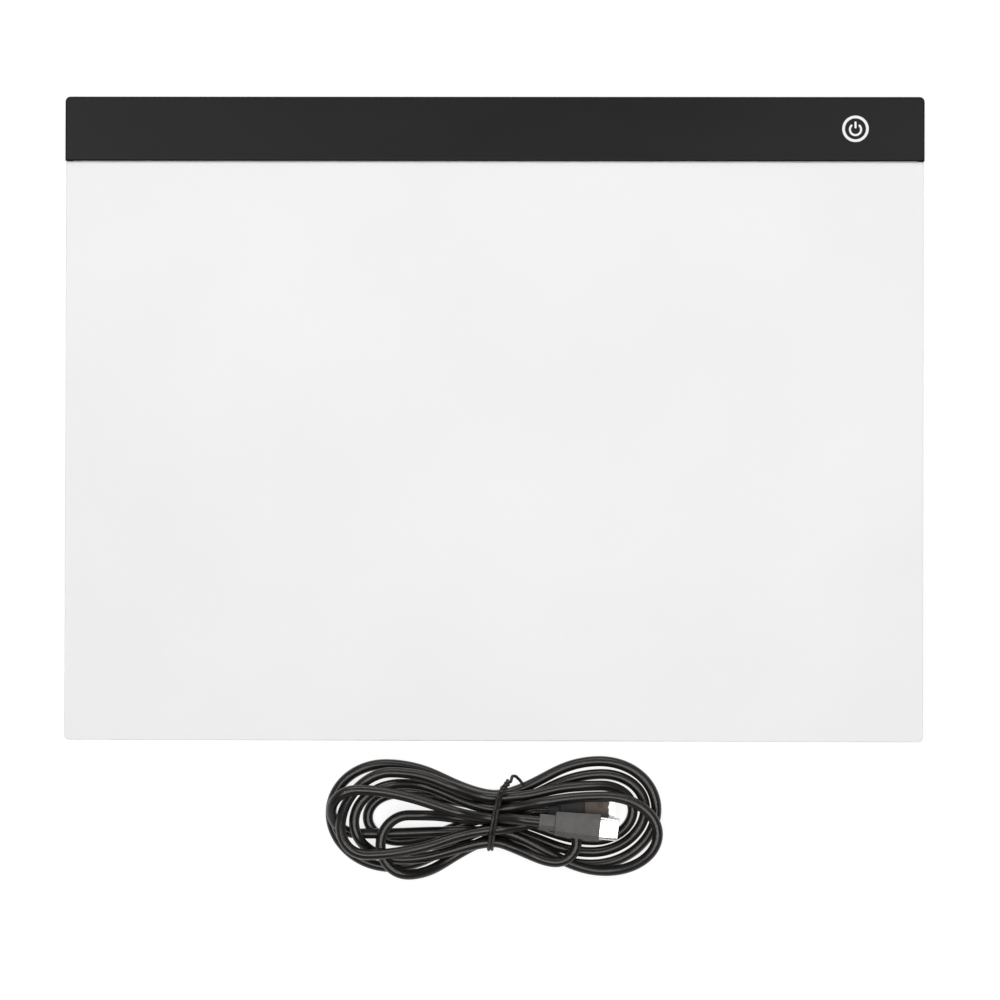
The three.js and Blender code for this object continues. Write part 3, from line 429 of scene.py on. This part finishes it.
def skin(name, grids, material, looped=False, marks=None):
    """Makes a closed piece from grids of points, in mm: rows run along it and columns
    round it. A grid's ends are closed by a flat face, or joined where it is looped.
    Faces are turned outwards by the sign of the volume that they close in. Marks are
    kept on the points as the attribute lay, for a finish to follow."""
    points, faces, start = [], [], 0
    for grid in grids:
        rows, columns, _ = grid.shape
        index = start + np.arange(rows * columns).reshape(rows, columns)
        ring = np.concatenate([index, index[:1]]) if looped else index
        a, b = ring[:-1], ring[1:]
        quads = np.stack([a, np.roll(a, -1, 1), np.roll(b, -1, 1), b], -1).reshape(-1, 4)
        flat = grid.reshape(-1, 3) - grid.reshape(-1, 3).mean(0)
        p, q, r, s = (flat[quads[:, k] - start] for k in range(4))
        volume = (np.cross(p, q) * r).sum() + (np.cross(p, r) * s).sum()
        ends = [] if looped else [index[0][::-1], index[-1]]
        if not looped:
            volume += sum(np.cross(flat[end[1:-1] - start], flat[end[2:] - start])
                          .dot(flat[end[0] - start]).sum() for end in ends)
        made = [*quads.tolist(), *(end.tolist() for end in ends)]
        faces += made if volume > 0 else [face[::-1] for face in made]
        points.append(grid.reshape(-1, 3))
        start += rows * columns
    mesh = bpy.data.meshes.new(name)
    mesh.from_pydata((np.concatenate(points) * MM).tolist(), [], faces)
    if marks is not None:
        layer = mesh.attributes.new("lay", "FLOAT_VECTOR", "POINT")
        layer.data.foreach_set("vector", np.ascontiguousarray(marks, np.float32).ravel())
    return settle(mesh, material)


def cord_jacket():
    """Soft black vinyl: a dull gloss, faint lines drawn out along the cable by the die,
    and slow changes of gloss from handling."""
    finish = finish_for("cord_jacket")
    lay = finish.node("Attribute", {"attribute_name": "lay"}, out="Vector")
    lines = finish.grain(1.0, 3.0, (0.02, 1.4, 1.4), lay)
    handled = finish.grain(9.0, 2.0, (0.5, 0.6, 0.6), lay)
    return finish.surface({
        "Base Color": finish.tint(handled.between(0.35, 0.65), (0.0035, 0.0034, 0.0033),
                                  (0.008, 0.0075, 0.007)),
        "Roughness": handled.between(0.3, 0.7, 0.27, 0.35) + (lines - 0.5) * 0.08,
        "Specular IOR Level": 0.45,
        "Specular Tint": (1.0, 0.95, 0.92),
        "Normal": finish.relief(lines, 0.03, 0.5),
    })


cord_route = np.concatenate([
    drawn_in(plug_route(2, plug_a), plug_a["rear"][0])[::-1],
    *[drawn_in(loop_route(*row)[1:]) for row in loops],
    drawn_in(plug_route(3, plug_c)[1:], plug_c["rear"][0]),
])
hank_route = faired(cord_route, cord["ring_pitch"], cord["eased"])
cord_path = hank_route + hank_place
cord_ring = circle(cord["diameter"] / 2, cord["sides"])
cord_along = run_of(cord_path) * MM
cord_marks = np.concatenate([
    np.repeat(cord_along[:, None, None], cord["sides"], axis=1),
    np.broadcast_to(cord_ring * MM, (len(cord_path), *cord_ring.shape)),
], axis=2)
lead = skin("lead_cable", [carry(cord_path, cord_ring)], cord_jacket(),
            marks=cord_marks)
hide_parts("cable_hank")


# The two plugs' grips: soft black vinyl moulded over the cable's ends, with a short neck,
# a step, and a body that widens to the front. The mould's surface is spark-eroded.
grip_c = {"neck": 6.0, "neck_width": 5.9, "neck_height": 5.0, "body": 16.5,
          "rear_width": 8.7, "front_width": 9.9, "height": 5.6, "chamfer": 1.9}
grip_a = {"neck": 4.6, "neck_width": 5.2, "neck_height": 5.2, "body": 9.1,
          "rear_width": 11.6, "front_width": 12.4, "height": 6.8, "chamfer": 1.2}


def cut_section(width, height, chamfer, fillet, steps=5):
    """A rectangle with its corners cut off at 45 degrees, and each of its eight edges
    rounded by an arc: the arcs' middles are the corners of the section set in by their
    radius, where a cut loses 0.586 of it."""
    least_cut = 0.02
    w, h = width / 2 - fillet, height / 2 - fillet
    c = max(chamfer - fillet * (2 - math.sqrt(2)), least_cut)
    middles = np.array([[w, h - c], [w - c, h], [-w + c, h], [-w, h - c],
                        [-w, -h + c], [-w + c, -h], [w - c, -h], [w, -h + c]])
    start = np.arange(len(middles)) * np.pi / 4
    angle = start[:, None] + np.linspace(0, np.pi / 4, steps)
    arcs = fillet * np.stack([np.cos(angle), np.sin(angle)], axis=2)
    return (middles[:, None] + arcs).reshape(-1, 2)


def on_plug(plug, grid):
    """From a plug's own frame, with its axis along x from its rear, to the pad's."""
    turn = math.atan(plug["slope"])
    x, y, z = np.moveaxis(grid, -1, 0)
    placed = np.stack([x * math.cos(turn) - y * math.sin(turn),
                       x * math.sin(turn) + y * math.cos(turn), z], axis=-1)
    return placed + np.array([*plug["rear"], plug["height"]]) + hank_place


def lofted(rows):
    """Stands sections, each a list of (y, z) pairs, at their places along x."""
    return np.stack([np.column_stack([np.full(len(ring), x), ring]) for x, ring in rows])


def edge_round(radius, steps=5):
    """A quarter circle round an edge, from an end face to a wall: how far each point is
    set in from the wall, and how far it stands from the end face."""
    angle = np.linspace(0, np.pi / 2, steps)
    return np.column_stack([radius * (1 - np.sin(angle)), radius * (1 - np.cos(angle))])


def grip_rings(grip, gap=0.3):
    """The sections from the neck's rear to the body's front, set in along a quarter
    circle at the neck's rear, at the body's shoulder and at its front edge. The neck
    flares a little where it meets the body."""
    neck_round, shoulder_round, front_round = 0.35, 0.55, 0.3
    neck_fillet, rear_fillet, front_fillet = 0.5, 0.4, 0.3
    flare, flare_length = 0.05, 0.25
    neck_end, body_end = grip["neck"], grip["neck"] + grip["body"]
    neck = grip["neck_width"], grip["neck_height"], neck_fillet
    rear = grip["rear_width"], grip["height"], rear_fillet
    front = grip["front_width"], grip["height"], front_fillet
    rows = [(gap + run, inset, neck) for inset, run in edge_round(neck_round)]
    rows += [(neck_end - flare_length, 0.0, neck), (neck_end, -flare, neck)]
    rows += [(neck_end + flare + run, inset, rear)
             for inset, run in edge_round(shoulder_round)]
    rows += [(body_end - run, inset, front)
             for inset, run in edge_round(front_round)[::-1]]
    return lofted([
        (x, cut_section(width - 2 * inset, height - 2 * inset, grip["chamfer"], fillet))
        for x, inset, (width, height, fillet) in rows
    ])


def grip_vinyl(name, low, high):
    """Dull vinyl with the fine pits of a spark-eroded mould, between two greys."""
    finish = finish_for(name)
    pits = finish.grain(0.28, 3.0, rough=0.65)
    worn = finish.grain(3.0, 2.0)
    shade = (pits - 0.5) * 0.9 + (worn - 0.5) * 0.4 + 0.5
    return finish.surface({
        "Base Color": finish.tint(shade.between(0.2, 0.8), low, high),
        "Roughness": pits.between(0.3, 0.7, 0.5, 0.68),
        "Specular IOR Level": 0.4,
        "Normal": finish.relief(pits, 0.06, 0.8),
    })


plug_c_grip = skin("usb_c_moulding", [on_plug(plug_c, grip_rings(grip_c))],
                   grip_vinyl("grip_c_vinyl", (0.055, 0.052, 0.05), (0.135, 0.13, 0.125)))
# The large plug's grip is the same vinyl as the small one's, made darker as painted shade.
plug_a_grip = skin("usb_a_moulding", [on_plug(plug_a, grip_rings(grip_a))],
                   grip_vinyl("grip_a_shaded_vinyl", (0.006, 0.006, 0.006), (0.02, 0.0195, 0.019)))
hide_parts("usb_c_grip")
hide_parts("usb_a_grip")


# The plugs' metal shells: drawn and plated steel on the small plug, with a rolled lip, and
# a folded and plated box on the large one. A moulded insert sits in each.
shell_c = {"width": 8.34, "height": 2.56, "wall": 0.25, "length": 6.65}


def slot_section(width, height, steps=13):
    """A slot: two half circles joined by flats."""
    radius = height / 2
    angle = np.linspace(-np.pi / 2, np.pi / 2, steps)
    end = np.stack([width / 2 - radius + radius * np.cos(angle), radius * np.sin(angle)], 1)
    return np.concatenate([end, -end])


def shell_rings(shell, start, lip_steps=7):
    """The outer wall, the lip round a half circle, and the inner wall back to the rear."""
    tip = start + shell["length"]
    half = shell["wall"] / 2
    rows = [(start, 0.0), (tip - half, 0.0)]
    rows += [(tip - half + half * math.sin(a), half * (1 - math.cos(a)))
             for a in np.linspace(0, np.pi, lip_steps)[1:-1]]
    rows += [(tip - half, shell["wall"]), (start, shell["wall"])]
    return lofted([
        (x, slot_section(shell["width"] - 2 * inset, shell["height"] - 2 * inset))
        for x, inset in rows
    ])


def bright_plate():
    """Bright nickel plate over steel, with faint drawing lines and a little bloom."""
    finish = finish_for("bright_plate")
    drawn = finish.grain(0.25, 3.0, (0.08, 1.0, 1.0))
    bloom = finish.grain(1.8, 3.0)
    return finish.surface({
        "Base Color": finish.tint(bloom.between(0.3, 0.7), (0.77, 0.75, 0.72),
                                  (0.84, 0.83, 0.81)),
        "Metallic": 1.0,
        "Roughness": bloom.between(0.3, 0.7, 0.2, 0.26),
        "Normal": finish.relief(drawn, 0.01, 0.5),
    })


def tin_painted_shade():
    """Tin plate with painted shade: brown and dull from the grip on, standing in for the
    shadow and dark reflection of the strands and the small plug, and bright at the tip. The
    change lies between two places along X, with an uneven edge."""
    change = [x * MM for x in (42.2, 43.0)]
    finish = finish_for("tin_painted_shade")
    blotch = finish.grain(1.5, 3.0)
    bright = (finish.along("X") + (blotch - 0.5) * (2.0 * MM)).between(*change)
    # The brown, with its blotchy tone, is painted shade; past the change the tip keeps the
    # plate's own colour.
    brown = finish.tint(blotch.between(0.3, 0.7), (0.07, 0.057, 0.047), (0.12, 0.10, 0.085))
    return finish.surface({
        "Base Color": finish.tint(bright, brown, (0.84, 0.83, 0.81)),
        "Metallic": 1.0,
        "Roughness": blotch.between(0.3, 0.7, 0.5, 0.64) - bright * 0.28,
        "Normal": finish.relief(blotch, 0.01, 0.5),
    })


def insert_resin():
    """Moulded black connector resin, glass-filled, with a fine mottle."""
    finish = finish_for("black_resin")
    mottle = finish.grain(0.3, 2.0)
    return finish.surface({
        "Base Color": finish.tint(mottle.between(0.3, 0.7), (0.012, 0.012, 0.013),
                                  (0.028, 0.028, 0.03)),
        "Roughness": mottle.between(0.3, 0.7, 0.42, 0.58),
        "Normal": finish.relief(mottle, 0.02, 0.5),
    })


plate = bright_plate()
black_resin = insert_resin()


def dress(name, material):
    """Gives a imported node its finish."""
    mesh = nodes[name].data
    mesh.materials.clear()
    mesh.materials.append(material)


plug_c_shell = skin("usb_c_sleeve", [
    on_plug(plug_c, shell_rings(shell_c, grip_c["neck"] + grip_c["body"]))
], plate, looped=True)
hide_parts("usb_c_shell")
# The large plug's shell has painted shade from the grip on, and is bright only at its tip.
dress("usb_a_shell", tin_painted_shade())
dress("usb_c_insert", black_resin)
dress("usb_a_insert", black_resin)


# The tie: one soft wire in a thin dark coat, twice round the waist of the hank and along
# the hull of its strands, with its two ends twisted together and one left over.
tie = {"diameter": 0.9, "coat": 1.15, "clear": 0.3, "turns": 2, "pitch": 1.22,
       "offset": 0.5, "slant": 0.187, "arc_points": 14, "sides": 10, "twist_radius": 0.67,
       "twist_turns": 2.0, "twist_points": 90, "ring_pitch": 0.3, "eased": 22}
tie_slots = [(0, 3), (-1, 3), (-2, 2), (-2, 1), (2, 1), (2, 2)]
twist_start, twist_end = np.array([2.1, 9.2, 12.9]), np.array([5.2, 13.6, 10.8])
tie_tail = [(6.3, 15.3, 9.2), (7.5, 15.2, 7.9), (9.0, 13.7, 6.6), (10.3, 11.9, 5.6)]


def strand_at(slot, along):
    """Where the strand that crosses the waist in a slot lies, at distances along it."""
    beside = 12
    crossing = np.flatnonzero(np.diff(np.sign(hank_route[:, 0])))
    height = layer_height(slot[1], 0.0)
    aim = np.array([slot[0] * cord["column"], height])
    best = crossing[np.argmin(np.linalg.norm(hank_route[crossing][:, 1:] - aim, axis=1))]
    near = hank_route[max(best - beside, 0):best + beside + 1]
    near = near[np.argsort(near[:, 0])]
    return np.stack([along, np.interp(along, near[:, 0], near[:, 1]),
                     np.interp(along, near[:, 0], near[:, 2])], axis=1)


def tie_route():
    """The wrap follows the hull of the strands that it meets: an arc round each, at the
    clearance from it, while it moves along the hank by the slant and by the pitch of its
    turns. Each end then runs round the other as a screw, and the last tail bends down."""
    off = cord["diameter"] / 2 + tie["clear"] + tie["diameter"] / 2
    places = np.array([(c * cord["column"], layer_height(r, 0.0)) for c, r in tie_slots])
    ahead = np.roll(places, -1, axis=0) - places
    normals = np.arctan2(-ahead[:, 0], ahead[:, 1])
    sweep_from = np.roll(normals, 1)
    sweeps = (normals - sweep_from) % (2 * np.pi)
    part = np.linspace(0, 1, tie["arc_points"])
    total = tie["turns"] * len(tie_slots) * tie["arc_points"]
    wrap = []
    for turn in range(tie["turns"]):
        for i, slot in enumerate(tie_slots):
            done = (turn * len(tie_slots) + i) * tie["arc_points"]
            share = (done + np.arange(tie["arc_points"])) / (total - 1)
            angle = sweep_from[i] + sweeps[i] * part
            along = (tie["offset"] + tie["pitch"] * tie["turns"] * (share - 0.5)
                     + tie["slant"] * (places[i, 0] + off * np.cos(angle)))
            ring = np.stack([0 * angle, off * np.cos(angle), off * np.sin(angle)], axis=1)
            wrap.append(strand_at(slot, along) + ring)
    axis = (twist_end - twist_start) / np.linalg.norm(twist_end - twist_start)
    side = np.cross(axis, (0.0, 0.0, 1.0))
    side /= np.linalg.norm(side)
    up = np.cross(side, axis)
    share = np.linspace(0, 1, tie["twist_points"])[:, None]

    def screw(phase):
        angle = phase - 2 * np.pi * tie["twist_turns"] * share
        return (twist_start + (twist_end - twist_start) * share
                + tie["twist_radius"] * (side * np.cos(angle) + up * np.sin(angle)))

    return np.concatenate([screw(np.pi)[::-1], *wrap, screw(0.0), np.array(tie_tail)])


def tie_coat():
    """A thin dark plastic coat, rubbed brownish where the wire was bent."""
    finish = finish_for("tie_coat")
    rubbed = finish.grain(2.2, 3.0)
    fine = finish.grain(0.2, 2.0)
    return finish.surface({
        "Base Color": finish.tint(rubbed.between(0.4, 0.65), (0.007, 0.0068, 0.0065),
                                  (0.042, 0.036, 0.030)),
        "Roughness": fine.between(0.3, 0.7, 0.4, 0.55),
        "Specular IOR Level": 0.35,
        "Normal": finish.relief(fine, 0.02, 0.5),
    })


tie_path = faired(tie_route(), tie["ring_pitch"], tie["eased"]) + hank_place
tie_wire = skin("hank_tie", [carry(tie_path, circle(tie["coat"] / 2, tie["sides"]))],
                tie_coat())
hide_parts("twist_tie")


# The rear cover: a shallow tray of white moulded plastic that carries everything, with
# fine texture outside, and four pale rubber feet stuck into recesses in its floor.
def tray_plastic():
    """White moulded plastic with the fine even texture of an etched mould."""
    finish = finish_for("tray_plastic")
    texture = finish.grain(0.22, 2.0)
    flow = finish.grain(60.0, 2.0)
    return finish.surface({
        "Base Color": finish.tint(flow.between(0.3, 0.7), (0.78, 0.78, 0.775),
                                  (0.82, 0.82, 0.815)),
        "Roughness": texture.between(0.3, 0.7, 0.42, 0.56),
        "Normal": finish.relief(texture, 0.02, 0.5),
    })


def foot_rubber():
    """Pale clear-grey silicone, dusty where it rubs."""
    finish = finish_for("foot_rubber")
    dust = finish.grain(0.8, 3.0)
    return finish.surface({
        "Base Color": finish.tint(dust.between(0.35, 0.7), (0.5, 0.5, 0.49),
                                  (0.62, 0.62, 0.6)),
        "Roughness": dust.between(0.3, 0.7, 0.38, 0.6),
        "Normal": finish.relief(dust, 0.02, 0.5),
    })


def soft_rim(name, node, level, material, radius, margin=2.5, steps=4):
    """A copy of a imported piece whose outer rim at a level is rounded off. The rim's
    edges have both ends at that height, and near the sides of the piece's box. The
    normals lean to the larger faces, so that these stay flat up to the rounding."""
    weld, level_slack, flat_angle = 0.002, 0.01, math.radians(0.5)
    shape = bmesh.new()
    shape.from_mesh(nodes[node].data)
    bmesh.ops.remove_doubles(shape, verts=shape.verts, dist=weld * MM)
    bmesh.ops.dissolve_limit(shape, angle_limit=flat_angle, verts=shape.verts,
                             edges=shape.edges)
    ends = np.array([[vert.co for vert in edge.verts] for edge in shape.edges]) / MM
    low, high = (np.array(corner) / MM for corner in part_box(node))
    aside = np.minimum(ends - low, high - ends)[:, :, :2].min(axis=2) < margin
    flush = np.abs(ends[:, :, 2] - level) < level_slack
    rim = flush.all(axis=1) & aside.all(axis=1)
    edges = [edge for edge, chosen in zip(shape.edges, rim) if chosen]
    bmesh.ops.bevel(shape, geom=edges, offset=radius * MM, offset_type="OFFSET",
                    segments=steps, profile=0.5, affect="EDGES", clamp_overlap=True)
    mesh = bpy.data.meshes.new(name)
    shape.to_mesh(mesh)
    shape.free()
    piece = settle(mesh, material)
    shading = piece.modifiers.new("flat_faces_first", "WEIGHTED_NORMAL")
    shading.keep_sharp = True
    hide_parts(node)


def at_height(plan, z):
    """Points seen from above, stood at a height."""
    return np.column_stack([plan, np.full(len(plan), z)])


tray_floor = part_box("rear_cover")[0][2] / MM
soft_rim("tray", "rear_cover", tray_floor, tray_plastic(), radius=0.45)
foot_sides = 64
# Radius and height, from the middle of the sole round its edge to the middle of the top.
foot_profile = [(0.02, 0.0), (4.2, 0.0), (4.55, 0.06), (4.85, 0.2), (5.0, 0.42), (5.0, 1.1),
                (0.02, 1.1)]
rubber = foot_rubber()
for foot_corner in ("front_left", "front_right", "rear_left", "rear_right"):
    foot_name = "foot_" + foot_corner
    low, high = (np.array(corner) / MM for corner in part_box(foot_name))
    middle = (low + high)[:2] / 2
    rings = np.stack([at_height(middle + circle(radius, foot_sides), low[2] + z)
                      for radius, z in foot_profile])
    foot = skin(foot_name + "_pad", [rings], rubber)
    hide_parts(foot_name)


# The light stack: a clear acrylic guide printed with dots, a white sheet under it and a
# matt one over it, white foil round three edges, and the adhesive frame of the panel.
def clear_guide():
    """Clear cast acrylic with rows of small printed white dots. A dot is all that lies
    within about a quarter of a square cell's width from the cell's middle."""
    dot_pitch = 2.4
    finish = finish_for("clear_guide")
    place = finish.node("TexCoord", out="Object")
    cells = finish.node("TexVoronoi", {"feature": "F1"}, {
        "Vector": place, "Scale": 1.0 / (dot_pitch * MM), "Randomness": 0.0})
    dots = cells.between(0.26, 0.22)
    return finish.surface({
        "Base Color": finish.tint(dots, (0.9, 0.94, 0.94), (0.95, 0.95, 0.95)),
        "Roughness": dots.between(0.0, 1.0, 0.04, 0.6),
        "IOR": 1.49,
        "Transmission Weight": 0.85,
    })


def white_film():
    """Matt white polyester film, with a very fine tooth."""
    finish = finish_for("white_film")
    tooth = finish.grain(0.12, 2.0)
    return finish.surface({
        "Base Color": finish.tint(tooth.between(0.3, 0.7), (0.84, 0.84, 0.83),
                                  (0.88, 0.88, 0.87)),
        "Roughness": tooth.between(0.3, 0.7, 0.6, 0.75),
        "Normal": finish.relief(tooth, 0.01, 0.5),
    })


film = white_film()
dress("light_guide", clear_guide())
for name in ("reflector_sheet", "diffuser_sheet", "edge_foil_left", "edge_foil_right",
             "edge_foil_front", "panel_tape"):
    dress(name, film)


# The row of diodes: twenty-four white packages with a yellow dish, soldered to a narrow
# white board, so that they shine into the guide's rear edge.
def circuit_board():
    """White solder mask over glass laminate: a slight weave, and buried copper tracks
    that show as straight paler lines, 1.2 mm apart, which come and go along the board.
    A track lies where a zigzag wave of the place across the board is near its tops."""
    half_pitch, track_edge = 0.6, (0.34, 0.37)
    finish = finish_for("circuit_board")
    weave = finish.grain(0.35, 1.0)
    swing = finish.node("Math", {"operation": "PINGPONG"},
                        {0: finish.along("Y"), 1: half_pitch * MM})
    lines = swing.between(*(edge * MM for edge in track_edge))
    routed = finish.grain(2.4, 0.0, (0.12, 1.0, 1.0)).between(0.5, 0.51)
    tracks = lines * routed
    return finish.surface({
        "Base Color": finish.tint(tracks, (0.66, 0.67, 0.645), (0.73, 0.74, 0.715)),
        "Roughness": weave.between(0.3, 0.7, 0.3, 0.42),
        "Normal": finish.relief(weave + tracks * 0.6, 0.02, 0.6),
    })


def led_package():
    """White resin with a yellow phosphor fill on the floor of its dish. The fill is a thin
    slice of depth, between two places along Y that fade in and out."""
    slice_front = [y * MM for y in (100.5, 100.54)]
    slice_back = [y * MM for y in (100.58, 100.64)]
    finish = finish_for("led_package")
    grit = finish.grain(0.15, 2.0)
    depth = finish.along("Y")
    fill = depth.between(*slice_front) * (1 - depth.between(*slice_back))
    return finish.surface({
        "Base Color": finish.tint(fill, (0.80, 0.80, 0.76), (0.86, 0.72, 0.22)),
        "Roughness": grit.between(0.3, 0.7, 0.35, 0.5),
        "Normal": finish.relief(grit, 0.01, 0.5),
    })


board = circuit_board()
package = led_package()
dress("led_board", board)
led_count = 24
for number in range(1, led_count + 1):
    dress(f"led_{number:02d}", package)


# The control board behind the touch key: the charging socket in its bay, a touch chip, a
# driver chip with its coil, three capacitors, the key's electrode and two wires.
def plain_finish(name, low, high, grain_size, gloss, metallic=0.0, depth=0.01):
    """A finish with a fine mottle between two colours and two roughnesses."""
    finish = finish_for(name)
    mottle = finish.grain(grain_size, 2.0)
    share = mottle.between(0.3, 0.7)
    return finish.surface({
        "Base Color": finish.tint(share, low, high),
        "Roughness": mottle.between(0.3, 0.7, *gloss),
        "Metallic": metallic,
        "Normal": finish.relief(mottle, depth, 0.5),
    })


def tin_ended(name, axis, core, low, high):
    """Resin or ceramic, with dull tin on the legs or caps: on all that lies further than
    half the core's length, in mm, from the middle of the piece along an axis."""
    finish = finish_for(name + "_finish")
    side = "XYZ".index(axis)
    lowest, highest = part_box(name)
    middle = (lowest[side] + highest[side]) / 2
    off = finish.node("Math", {"operation": "ABSOLUTE"}, {0: finish.along(axis) - middle})
    tinned = off.between((core / 2 + 0.01) * MM, (core / 2 + 0.03) * MM)
    mottle = finish.grain(0.15, 2.0)
    body = finish.tint(mottle.between(0.3, 0.7), low, high)
    return finish.surface({
        "Base Color": finish.tint(tinned, body, (0.60, 0.59, 0.57)),
        "Roughness": mottle.between(0.3, 0.7, 0.45, 0.6) - tinned * 0.15,
        "Metallic": tinned,
        "Normal": finish.relief(mottle, 0.01, 0.5),
    })


dress("control_board", board)
dress("usb_socket_shell", plate)
dress("usb_socket_tongue", black_resin)
dress("touch_electrode", plain_finish(
    "copper_foil", (0.64, 0.31, 0.17), (0.69, 0.34, 0.19), 1.2, (0.32, 0.38), 1.0))
dress("touch_foam", plain_finish(
    "conductive_foam", (0.008, 0.008, 0.008), (0.035, 0.035, 0.035), 0.3, (0.8, 0.95),
    depth=0.1))
dress("inductor", plain_finish(
    "ferrite", (0.045, 0.045, 0.048), (0.075, 0.075, 0.08), 0.2, (0.55, 0.75), depth=0.03))
chip_black = (0.010, 0.010, 0.011), (0.022, 0.022, 0.024)
ceramic_tan = (0.32, 0.24, 0.16), (0.42, 0.32, 0.22)
for name, axis, core, colours in (
        ("touch_chip", "Y", 3.9, chip_black), ("driver_chip", "Y", 1.6, chip_black),
        ("capacitor_input", "X", 1.2, ceramic_tan),
        ("capacitor_output", "X", 1.2, ceramic_tan),
        ("capacitor_touch", "X", 1.2, ceramic_tan)):
    dress(name, tin_ended(name, axis, core, *colours))
dress("lead_positive", plain_finish(
    "wire_red", (0.42, 0.02, 0.015), (0.55, 0.03, 0.02), 0.5, (0.3, 0.42)))
dress("lead_negative", plain_finish(
    "wire_black", (0.010, 0.010, 0.010), (0.020, 0.020, 0.020), 0.5, (0.3, 0.42)))


# The panel that is drawn on: one sheet of milky acrylic with a satin face, its edges
# finely broken, stuck on the walls of the rear cover.
def outline(box, front_radius, rear_radius, inset, steps=9):
    """A rectangle seen from above with rounded corners, set in by an inset: four arcs,
    whose radii shrink with the inset."""
    least_radius = 0.05
    x0, x1, y0, y1 = box
    radii = np.maximum(np.array([rear_radius, rear_radius, front_radius, front_radius])
                       - inset, least_radius)
    corners = np.array([(x1, y1), (x0, y1), (x0, y0), (x1, y0)])
    inward = np.array([(-1, -1), (1, -1), (1, 1), (-1, 1)])
    middles = corners + inward * (radii + inset)[:, None]
    start = np.arange(len(corners)) * np.pi / 2
    angle = start[:, None] + np.linspace(0, np.pi / 2, steps)
    arcs = radii[:, None, None] * np.stack([np.cos(angle), np.sin(angle)], axis=2)
    return (middles[:, None] + arcs).reshape(-1, 2)


def sheet_rings(box, radii, low, high, under, over, steps=6):
    """A plate from its underside to its top: a quarter circle of one radius round its
    lower edge, an upright wall, and a quarter circle of another round its upper edge."""
    rows = [(inset, low + rise) for inset, rise in edge_round(under, steps)]
    rows += [(inset, high - drop) for inset, drop in edge_round(over, steps)[::-1]]
    return np.stack([at_height(outline(box, *radii, inset), z) for inset, z in rows])


def opal_acrylic():
    """Milky acrylic: an even white body with a satin face. Faint cloudiness runs through
    the sheet, and the face has a fine tooth and a few slow changes of gloss."""
    finish = finish_for("opal_acrylic")
    cloud = finish.grain(90.0, 2.0)
    tooth = finish.grain(0.2, 2.0)
    satin = finish.grain(25.0, 3.0)
    return finish.surface({
        "Base Color": finish.tint(cloud.between(0.3, 0.7), (0.845, 0.845, 0.845),
                                  (0.87, 0.87, 0.87)),
        "Roughness": satin.between(0.3, 0.7, 0.38, 0.46) + (tooth - 0.5) * 0.06,
        "Specular IOR Level": 0.15,
        "Normal": finish.relief(tooth, 0.006, 0.4),
    })


sheet = {"box": (-157.2, 157.2, -118.0, 94.2), "radii": (1.8, 0.25),
         "low": 4.6, "high": 5.6, "under": 0.12, "over": 0.32}
panel = skin("opal_panel", [sheet_rings(**sheet)], opal_acrylic())
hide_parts("front_panel")


# The strip cover: a black moulded cap with a satin, finely etched face. The touch key is a
# round white mark printed on it, with nothing that moves.
key = {"centre": np.array([132.2, 106.3]), "ring_radius": 4.35, "ring_width": 1.0,
       "ring_sides": 96, "arc_radius": 2.05, "arc_middle": (0.0, -0.25),
       "arc_ends": (125, 415), "arc_points": 81, "bar_ends": (0.15, 2.7),
       "bar_points": 31, "line": 0.75, "ink": 0.04}
strip_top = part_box("strip_cover")[1][2] / MM


def strip_plastic():
    """Black moulded plastic: satin, with an etched texture, and slow changes of gloss
    from the flow of the melt."""
    finish = finish_for("strip_plastic")
    etched = finish.grain(0.18, 2.0)
    flow = finish.grain(30.0, 2.0, (0.4, 1.0, 1.0))
    return finish.surface({
        "Base Color": finish.tint(flow.between(0.3, 0.7), (0.003, 0.003, 0.003),
                                  (0.005, 0.005, 0.005)),
        "Roughness": flow.between(0.3, 0.7, 0.36, 0.42) + (etched - 0.5) * 0.1,
        "Specular IOR Level": 0.17,
        "Normal": finish.relief(etched, 0.012, 0.5),
    })


def key_ink():
    """White screen-printed ink, slightly uneven in its cover."""
    finish = finish_for("key_ink")
    cover = finish.grain(0.25, 3.0)
    return finish.surface({
        "Base Color": finish.tint(cover.between(0.25, 0.6), (0.74, 0.74, 0.74),
                                  (0.88, 0.88, 0.88)),
        "Roughness": cover.between(0.3, 0.7, 0.4, 0.55),
    })


def inked(path, side):
    """A printed line as a flat bar: its four edges lie to both sides of a path, half the
    ink's thickness under the face of the strip and half over it."""
    low, high = strip_top - key["ink"] / 2, strip_top + key["ink"] / 2
    edges = ((side, low), (side, high), (-side, high), (-side, low))
    return np.stack([at_height(path + offset, z) for offset, z in edges], axis=1)


def round_ended(path):
    """A printed line whose half width follows a half circle near each open end, down to
    a sliver at its tip."""
    sliver, half = 0.004, key["line"] / 2
    run = run_of(path)
    reach = np.clip(np.minimum(run, run[-1] - run) / half, sliver, 1)
    half = half * np.sqrt(1 - (1 - reach) ** 2)
    along = np.gradient(path, axis=0)
    along /= np.linalg.norm(along, axis=1, keepdims=True)
    return inked(path, np.stack([-along[:, 1], along[:, 0]], axis=1) * half[:, None])


soft_rim("strip_cap", "strip_cover", strip_top, strip_plastic(),
         radius=0.3)
ring_path = key["centre"] + circle(key["ring_radius"], key["ring_sides"])
ring_side = circle(key["ring_width"] / 2, key["ring_sides"])
arc_angle = np.radians(np.linspace(*key["arc_ends"], key["arc_points"]))
arc_path = key["centre"] + key["arc_middle"] + key["arc_radius"] * np.stack(
    [np.cos(arc_angle), np.sin(arc_angle)], axis=1)
bar_path = key["centre"] + np.column_stack([
    np.zeros(key["bar_points"]), np.linspace(*key["bar_ends"], key["bar_points"])])
ink = key_ink()
skin("key_ring_print", [inked(ring_path, ring_side)], ink, looped=True)
skin("key_mark_print", [round_ended(arc_path), round_ended(bar_path)], ink)
